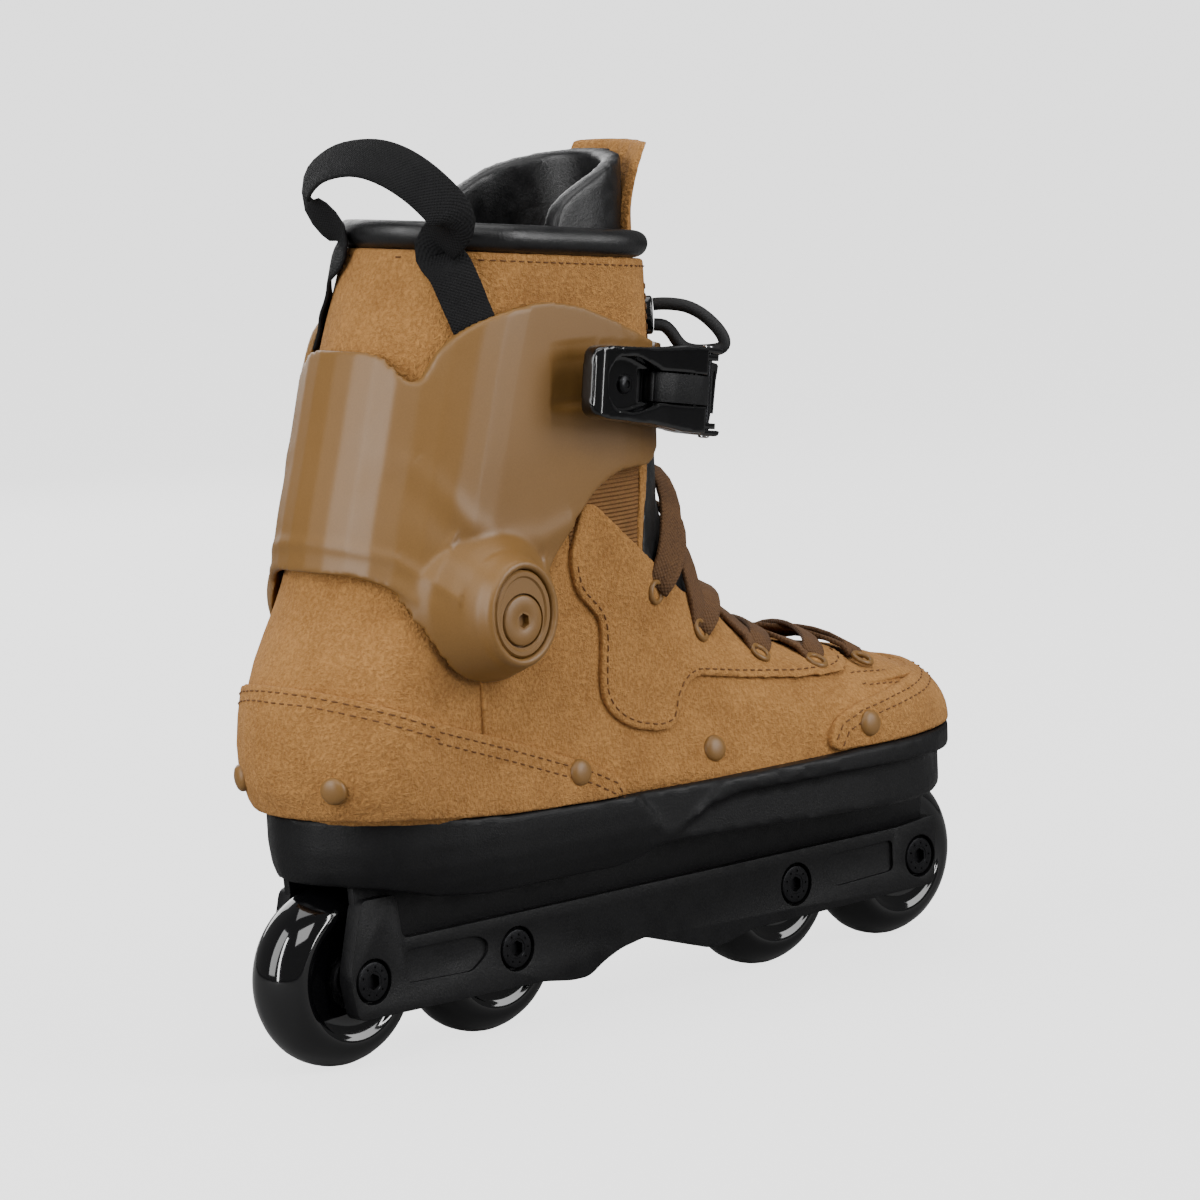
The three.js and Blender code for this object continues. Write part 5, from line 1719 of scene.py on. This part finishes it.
    def pins(self) -> None:
        """The hinge pin with its riveted ends."""
        half = 15.4
        profile = [(1.3, 0.8 - half), (1.55, 1 - half), (1.55, half - 1), (1.3, half - 0.8)]
        piece = Bench.turned("buckle_hinge_pin", profile, 28, Matrix.Translation((self.pin[0], -self.pin[1],
            0)))
        Bench.only(piece)
        bpy.ops.object.shade_smooth_by_angle(angle=math.radians(40))
        dress(self.seat(piece), OXIDE, CUFF, "buckle_pin")
        ends = []
        for sign in (-1, 1):
            cap = [(1.9, sign * (half - 0.9)), (1.9, sign * (half - 0.3)), (1.2, sign * half)]
            ends.append(Bench.turned("pin_end", cap, 28, Matrix.Translation((self.pin[0], -self.pin[1], 0))))
        caps = Bench.joined("pin_ends", ends)
        Bench.only(caps)
        bpy.ops.object.shade_smooth_by_angle(angle=math.radians(40))
        dress(self.seat(caps), STEEL, CUFF)
        screw = Bench.turned("base_screw", [(3.6, 2.1), (3.6, 2.9), (2.9, 3.4), (1.5, 3.45), (1.3, 2.9)], 28,
                             Matrix.Translation((-7.5, 0, 0)) @ Matrix.Rotation(math.pi / 2, 4, "X"))
        Bench.only(screw)
        bpy.ops.object.shade_smooth_by_angle(angle=math.radians(40))
        dress(self.seat(screw), OXIDE, CUFF)

    def stations(self) -> list[tuple[Vector, Vector]]:
        """The strap's way, through the buckle and round the front of the cuff.

        Returns:
            Each place on the strap with the direction out of it.
        """
        place = self.place()
        middle = self.strap_low + self.strap_thickness / 2
        face = (place.to_3x3() @ Vector((0, -1, 0))).normalized()
        rows = [(*(place @ Vector((u, -middle, 0))), *face) for u in (-8, 4, 16, 26, 35)]
        for degrees, z, away in spline(self.ROUTE, 4)[2:]:
            at, _ = self.last.around(degrees, z, 4.8, self.shin)
            out = Vector((math.cos(math.radians(degrees)), math.sin(math.radians(degrees)), 0))
            rows.append((*(at + out * away), *out))
        return [(Vector(r[:3]), Vector(r[3:]).normalized()) for r in spline(rows, 3)]

    def strap(self) -> None:
        """The toothed strap and its screw."""
        stations = self.stations()
        band = Bench.band("strap_band", stations, self.strap_width, self.strap_thickness, 0.5)
        pieces = [band]
        line = [at for at, _ in stations]
        for at, way in spaced(line[: int(len(line) * 0.62)], 2.6):
            nearest = min(stations, key=lambda s: (s[0] - at).length)
            out = nearest[1]
            across = way.cross(out).normalized()
            rings = []
            for w in (-7, 7):
                rings.append([at + across * w + way * a + out * b
                              for a, b in ((-0.9, 1.1), (0.9, 1.1), (0.5, 1.75), (-0.7, 1.75))])
            pieces.append(Bench.loft("tooth", rings))
        dress(Bench.joined("strap_toothed", pieces), NYLON, CUFF, "ratchet_strap")
        at, out = stations[-5]
        turn = Vector((0, 0, 1)).rotation_difference(out).to_matrix().to_4x4()
        profile = [(4.2, 1.3), (4.2, 2.2), (3.4, 3.1), (1.9, 3.2), (1.7, 2.4)]
        screw = Bench.turned("strap_screw_head", profile, 28, Matrix.Translation(at) @ turn)
        Bench.only(screw)
        bpy.ops.object.shade_smooth_by_angle(angle=math.radians(40))
        dress(screw, OXIDE, CUFF, "strap_screw")

    def build(self) -> None:
        """Makes the buckle and the strap."""
        self.base()
        self.lever()
        self.pawl_piece()
        self.pins()
        self.strap()


# ---------------------------------------------------------------- sole, frame and wheels


@dataclass
class Chassis:
    """The sole tub and the frame below it."""

    last: Last
    axles: Sequence[float]
    axle_level: float
    inner_half: float = 14.5
    rail: float = 5.9
    web: float = 3.0

    PLAN: ClassVar[tuple[tuple[float, float, float], ...]] = (
        (-144, 0, 0), (-141.5, 12, 12), (-128, 28.5, 28.5), (-94, 39, 38), (-46, 39.8, 38), (-2.5, 44.5, 40),
        (46.7, 50.5, 45), (84, 51.5, 46), (113, 46, 42.5), (133.5, 32, 32), (145, 15, 16), (148, 0, 0),
    )

    def plan(self, inset: float, z: float) -> list[Vector]:
        """The sole's outline at one level, drawn in by an inset.

        Args:
            inset: How far the outline is drawn in, in millimetres.
            z: The level, in millimetres.

        Returns:
            The outline's points.
        """
        shrink = 1 - 2 * inset / 289.5
        middle = 3.25
        points = []
        for side, column in ((-1, 1), (1, 2)):
            rows = spline([(r[0], r[column]) for r in self.PLAN], 6)
            line = [
                Vector((middle + (r.x - middle) * shrink, side * max(r.y - inset * min(1, r.y / 12), 0),
                    z)) for r in rows
            ]
            points += line[:-1] if side < 0 else line[::-1][:-1]
        return points

    def tub(self) -> None:
        """The moulded sole tub with its stepped side wall."""
        levels = ((53, 7), (55, 5), (60, 2.4), (66, 0.8), (73, 0.1), (88, 0))
        piece = Bench.loft("sole_tub", [self.plan(inset, z) for z, inset in levels])
        over = [*Boot.SOLE_EDGE, (170, 400), (-170, 400)]
        Bench.carve(piece, Bench.prism("over", over, -WIDE, WIDE), Cut.TAKE_AWAY)
        under = [(-170, 30), (-170, 64), (-141, 62), (-125, 60), (-110, 56), (-87, 53.5), (-33, 53.3),
            (-24, 55.5),
                 (-16, 59.5), (58, 58.5), (112, 56.5), (140, 58), (170, 63), (170, 30)]
        Bench.carve(piece, Bench.prism("under", under, -WIDE, WIDE), Cut.TAKE_AWAY)
        for inset, outline in (
            (3.0, [(-14, 58.5), (-7, 65), (3, 70), (16, 73), (60, 73.5), (110, 72.5), (170, 70), (170, 40),
                (-14, 40)]),
            (1.6, [(-29, 79.5), (-13, 60.5), (2, 71.5), (10, 79.5)]),
        ):
            ring = Bench.loft("ring", [self.plan(-6, 40), self.plan(-6, 90)])
            Bench.carve(ring, Bench.loft("core", [self.plan(inset, 39), self.plan(inset, 91)]), Cut.TAKE_AWAY)
            Bench.carve(ring, Bench.prism("window", outline, -WIDE, WIDE), Cut.KEEP)
            Bench.carve(piece, ring, Cut.TAKE_AWAY)
        Bench.carve(piece, self.last.body("foot", -3.5), Cut.TAKE_AWAY)
        half = self.inner_half
        core = Bench.block("core", (-120, -half - 0.5, 58), (120, half + 0.5, 66))
        Bench.carve(piece, core, Cut.ADD)
        for x in self.axles:
            Bench.carve(piece, Bench.bar("well", 32.4, (x, self.axle_level), -half, half, 64), Cut.TAKE_AWAY)
        Bench.soften(piece, 1.25, 1)
        dress(piece, NYLON, BASE, "chassis")

    def rails(self) -> None:
        """The two rails, the walls above them and the grind block between."""
        a = self.axle_level
        inner = self.inner_half
        outer = inner + self.rail
        rear, front = self.axles[0] - 8, self.axles[3] + 8
        grind = [(-34, a - 15), (-27, a - 11), (-19, a - 8), (-7, a - 6), (8, a - 10), (22, a - 15)]
        rail = [(rear + 4, 57), (rear - 2, a + 2), (rear + 1, a - 12), (-55, a - 13), (-42, a - 15), *grind,
                (30, a - 15), (44, a - 12), (front - 1, a - 11), (front + 1, a + 14), (front - 18, a + 12),
                (rear + 21, a + 12), (rear + 19, 57)]
        web = [(rear + 5, a + 10), (front - 4, a + 10), (front - 2, 64), (rear + 3, 64)]
        pocket = [(-115, a - 3), (-86, a - 4), (-79, a + 1), (-79, a + 5), (-84, a + 7.5), (-115, a + 8)]
        for side in Side:
            s = side.value
            name = side.name.lower()
            low, high = sorted((s * inner, s * outer))
            piece = Bench.prism(f"rail_{name}", rounded(rail, 3.0), low, high)
            low, high = sorted((s * (outer - 1.3), s * 60))
            for shape in (pocket, [(-x, z) for x, z in pocket][::-1]):
                Bench.carve(piece, Bench.prism("pocket", rounded(shape, 2.5), low, high), Cut.TAKE_AWAY)
            for x in self.axles:
                low, high = sorted((s * (outer - 3.2), s * 60))
                Bench.carve(piece, Bench.bar("recess", 7.6, (x, a), low, high, 40), Cut.TAKE_AWAY)
                low, high = sorted((s * 5, s * 60))
                Bench.carve(piece, Bench.bar("bore", 4.25, (x, a), low, high, 32), Cut.TAKE_AWAY)
            Bench.bevel(piece, 0.7, 3, 40)
            dress(piece, NYLON, BASE)
            low, high = sorted((s * inner, s * (inner + self.web)))
            wall = Bench.prism(f"web_{name}", web, low, high)
            Bench.bevel(wall, 0.5)
            dress(wall, NYLON, BASE)
            bosses = []
            for x in self.axles:
                low, high = sorted((s * 10.9, s * (inner + 0.5)))
                boss = Bench.bar("boss", 6.5, (x, a), low, high, 40)
                Bench.carve(boss, Bench.bar("bore", 4.25, (x, a), low - 1, high + 1, 32), Cut.TAKE_AWAY)
                bosses.append(boss)
            boss = Bench.joined(f"bosses_{name}", bosses)
            Bench.bevel(boss, 0.4)
            dress(boss, NYLON, BASE)
        block = Bench.prism("grind_block", rounded([(-37, 60), *grind, (34, a - 15), (37, 60)], 2),
            -inner - 0.4, inner + 0.4)
        for x in self.axles[1:3]:
            Bench.carve(block, Bench.bar("well", 32.4, (x, a), -30, 30, 64), Cut.TAKE_AWAY)
        Bench.bevel(block, 0.5)
        dress(block, NYLON, BASE)

    def bolts(self) -> None:
        """The axle bolts and nuts, each with a hexagon socket and a ring of small dimples."""
        for i, x in enumerate(self.axles):
            for side, word in ((Side.OUTER, "bolt"), (Side.INNER, "nut")):
                s = side.value
                turn = Matrix.Rotation(-s * math.pi / 2, 4, "X")
                head = [(6.75, 17.5), (6.75, 19.4), (6.3, 20.05), (5.7, 20.2), (3.5, 20.2), (3.3, 20.0),
                    (2.95, 20.0)]
                piece = Bench.turned(f"axle_{word}_head_{i + 1}", head, 40,
                    Matrix.Translation((x, 0, self.axle_level)) @ turn)
                low, high = sorted((s * 18.0, s * 30))
                Bench.carve(piece, Bench.bar("socket", 2.8, (x, self.axle_level), low, high, 6),
                    Cut.TAKE_AWAY)
                for k in range(9):
                    spot = 2 * math.pi * k / 9
                    at = (x + 4.7 * math.cos(spot), self.axle_level + 4.7 * math.sin(spot))
                    low, high = sorted((s * 19.85, s * 30))
                    Bench.carve(piece, Bench.bar("dimple", 0.42, at, low, high, 8), Cut.TAKE_AWAY)
                Bench.only(piece)
                bpy.ops.object.shade_smooth_by_angle(angle=math.radians(30))
                dress(piece, OXIDE, BASE, f"axle_{word}_{i + 1}")

    def wheels(self) -> None:
        """The four wheels."""
        side = [(11, 3.6), (11, 10.6), (11.5, 10.9), (18.2, 10.9), (19.2, 11.4), (20.6, 11.9), (22, 12),
            (23.6, 11.6),
                (25.4, 10.4), (27.2, 8.4), (28.6, 6.1), (29.5, 4), (29.9, 2), (30, 0)]
        profile = [*side, *[(r, -y) for r, y in side[-2::-1]], (9.4, -3.6), (9.4, 3.6), side[0]]
        for i, x in enumerate(self.axles):
            turn = Matrix.Rotation(-math.pi / 2, 4, "X")
            piece = Bench.turned(f"wheel_body_{i + 1}", profile, 96,
                Matrix.Translation((x, 0, self.axle_level)) @ turn)
            Bench.only(piece)
            bpy.ops.object.shade_smooth_by_angle(angle=math.radians(28))
            dress(piece, URETHANE, f"wheel_unit_{i + 1}", f"wheel_{i + 1}")

    def build(self) -> None:
        """Makes the sole, frame, bolts and wheels."""
        self.tub()
        self.rails()
        self.bolts()
        self.wheels()


# ---------------------------------------------------------------- the studio


@dataclass
class Studio:
    """Camera, floor and soft lights."""

    yaw: float = -43.21
    pitch: float = 7.77
    roll: float = -2.51
    distance: float = 1.7597
    lens: float = 155.66
    target: tuple[float, float, float] = (-0.00262, 0.0, 0.13718)
    pale: float = 2.6

    def camera(self) -> None:
        """Sets the camera behind the heel on the outer side."""
        a, e, r = (math.radians(v) for v in (self.yaw, self.pitch, self.roll))
        back = Vector((math.sin(a) * math.cos(e), -math.cos(a) * math.cos(e), math.sin(e)))
        right = Vector((math.cos(a), math.sin(a), 0))
        up = back.cross(right)
        tilted_right = right * math.cos(r) + up * math.sin(r)
        tilted_up = up * math.cos(r) - right * math.sin(r)
        data = bpy.data.cameras.new("camera")
        data.lens = self.lens
        data.sensor_width = 36
        camera = bpy.data.objects.new("camera", data)
        place = Matrix((tilted_right, tilted_up, back)).transposed().to_4x4()
        place.translation = Vector(self.target) + back * self.distance
        camera.matrix_world = place
        bpy.context.scene.collection.objects.link(camera)
        bpy.context.scene.camera = camera

    def area(self, name: str, place: Sequence[float], size: Pair, power: float) -> None:
        """Hangs one soft box that looks at the skate's middle.

        Args:
            name: The lamp's name.
            place: Where it hangs, in metres.
            size: Its width and height, in metres.
            power: Its power, in watts.
        """
        data = bpy.data.lights.new(name, "AREA")
        data.shape = "RECTANGLE"
        data.size, data.size_y = size
        data.energy = power
        lamp = bpy.data.objects.new(name, data)
        lamp.location = place
        way = Vector(self.target) - Vector(place)
        lamp.rotation_euler = way.to_track_quat("-Z", "Y").to_euler()
        lamp.visible_camera = False
        bpy.context.scene.collection.objects.link(lamp)

    @staticmethod
    def by_eye(n: Nodes, plain: bpy.types.NodeSocket, seen: bpy.types.NodeSocket,
            leave: bpy.types.Node) -> None:
        """Keeps the backdrop pale to the eye and dull to the skate, so that black stays black beside it.

        Args:
            n: The material's node bench.
            plain: The shader that the skate meets.
            seen: The shader that the camera sees.
            leave: The node that takes the mixed shader.
        """
        path = n.add("ShaderNodeLightPath")
        mix = n.add("ShaderNodeMixShader")
        n.wire(path.outputs["Is Camera Ray"], mix.inputs[0])
        n.wire(plain, mix.inputs[1])
        n.wire(seen, mix.inputs[2])
        n.wire(mix.outputs[0], leave.inputs["Surface"])

    def build(self) -> None:
        """Lights the floor and the skate evenly."""
        world = bpy.data.worlds.new("studio")
        world.use_nodes = True
        n = Nodes(world.node_tree)
        shade = world.node_tree.nodes["Background"]
        shade.inputs["Color"].default_value = (1, 1, 1, 1)
        shade.inputs["Strength"].default_value = 0.16
        seen = n.add("ShaderNodeBackground")
        seen.inputs["Strength"].default_value = self.pale
        self.by_eye(n, shade.outputs[0], seen.outputs[0], world.node_tree.nodes["World Output"])
        bpy.context.scene.world = world
        bpy.ops.object.select_all(action="DESELECT")
        bpy.ops.mesh.primitive_circle_add(vertices=96, radius=25, fill_type="NGON")
        floor = bpy.context.object
        floor.name = "floor"
        floor.data.transform(Matrix.Translation((0, 0, -0.0003)))
        paint = bpy.data.materials.new("floor_paint")
        paint.use_nodes = True
        n = Nodes(paint.node_tree)
        dull = paint.node_tree.nodes["Principled BSDF"]
        dull.inputs["Base Color"].default_value = (0.2, 0.2, 0.2, 1)
        dull.inputs["Roughness"].default_value = 0.9
        glow = n.add("ShaderNodeEmission")
        glow.inputs["Strength"].default_value = self.pale * 0.8
        pale = n.add("ShaderNodeBsdfDiffuse")
        pale.inputs["Color"].default_value = (0.3, 0.3, 0.3, 1)
        both = n.add("ShaderNodeAddShader")
        n.wire(glow.outputs[0], both.inputs[0])
        n.wire(pale.outputs[0], both.inputs[1])
        self.by_eye(n, dull.outputs[0], both.outputs[0], paint.node_tree.nodes["Material Output"])
        floor.data.materials.append(paint)
        self.area("left_strip", (-1.25, -0.1, 0.55), (0.1, 1.1), 8)
        self.area("right_strip", (0.35, -1.35, 0.6), (0.08, 1.1), 7)
        self.area("left_box", (-1.35, 0.35, 0.75), (0.55, 1.3), 11)
        self.area("right_box", (0.85, -1.25, 0.8), (0.7, 1.1), 15)
        self.area("front_box", (-0.9, -1.1, 1.5), (1.0, 0.7), 12)
        self.area("top_box", (0.1, 0.1, 1.7), (1.3, 1.3), 14)
        self.area("back_box", (0.5, 1.4, 0.7), (1.0, 1.0), 10)


def keep_cad(frame: dict) -> None:
    """Dresses the CAD nodes that stay as they are."""
    finishes = {"spacer": STEEL, "bearing": STEEL, "liner_foot": LINING, "insole": LINING, "cuff_nut": STEEL}
    for name, node in frame["nodes"].items():
        for start, finish in finishes.items():
            if name.startswith(start):
                node.data.materials.clear()
                node.data.materials.append(finish.material())


def main() -> None:
    """Builds the skate and its studio, in order."""
    logging.basicConfig(level=logging.INFO, format="%(relativeCreated)7d %(message)s")
    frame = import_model()
    studio = Studio()
    studio.camera()
    last = Last()
    liner = Liner(last)
    liner.cord()
    joints = {joint["name"]: joint for joint in frame["joints"]}
    axles = [joints[f"wheel_spin_{i}"]["pos_m"][0] / MM for i in range(1, 5)]
    level = joints["wheel_spin_1"]["pos_m"][2] / MM
    Boot(last).build()
    Lacing(last).build()
    liner.build()
    Cuff(last).build()
    Buckle(last, joints).build()
    Chassis(last, axles, level).build()
    keep_cad(frame)
    studio.build()


if __name__ == "__main__":
    main()
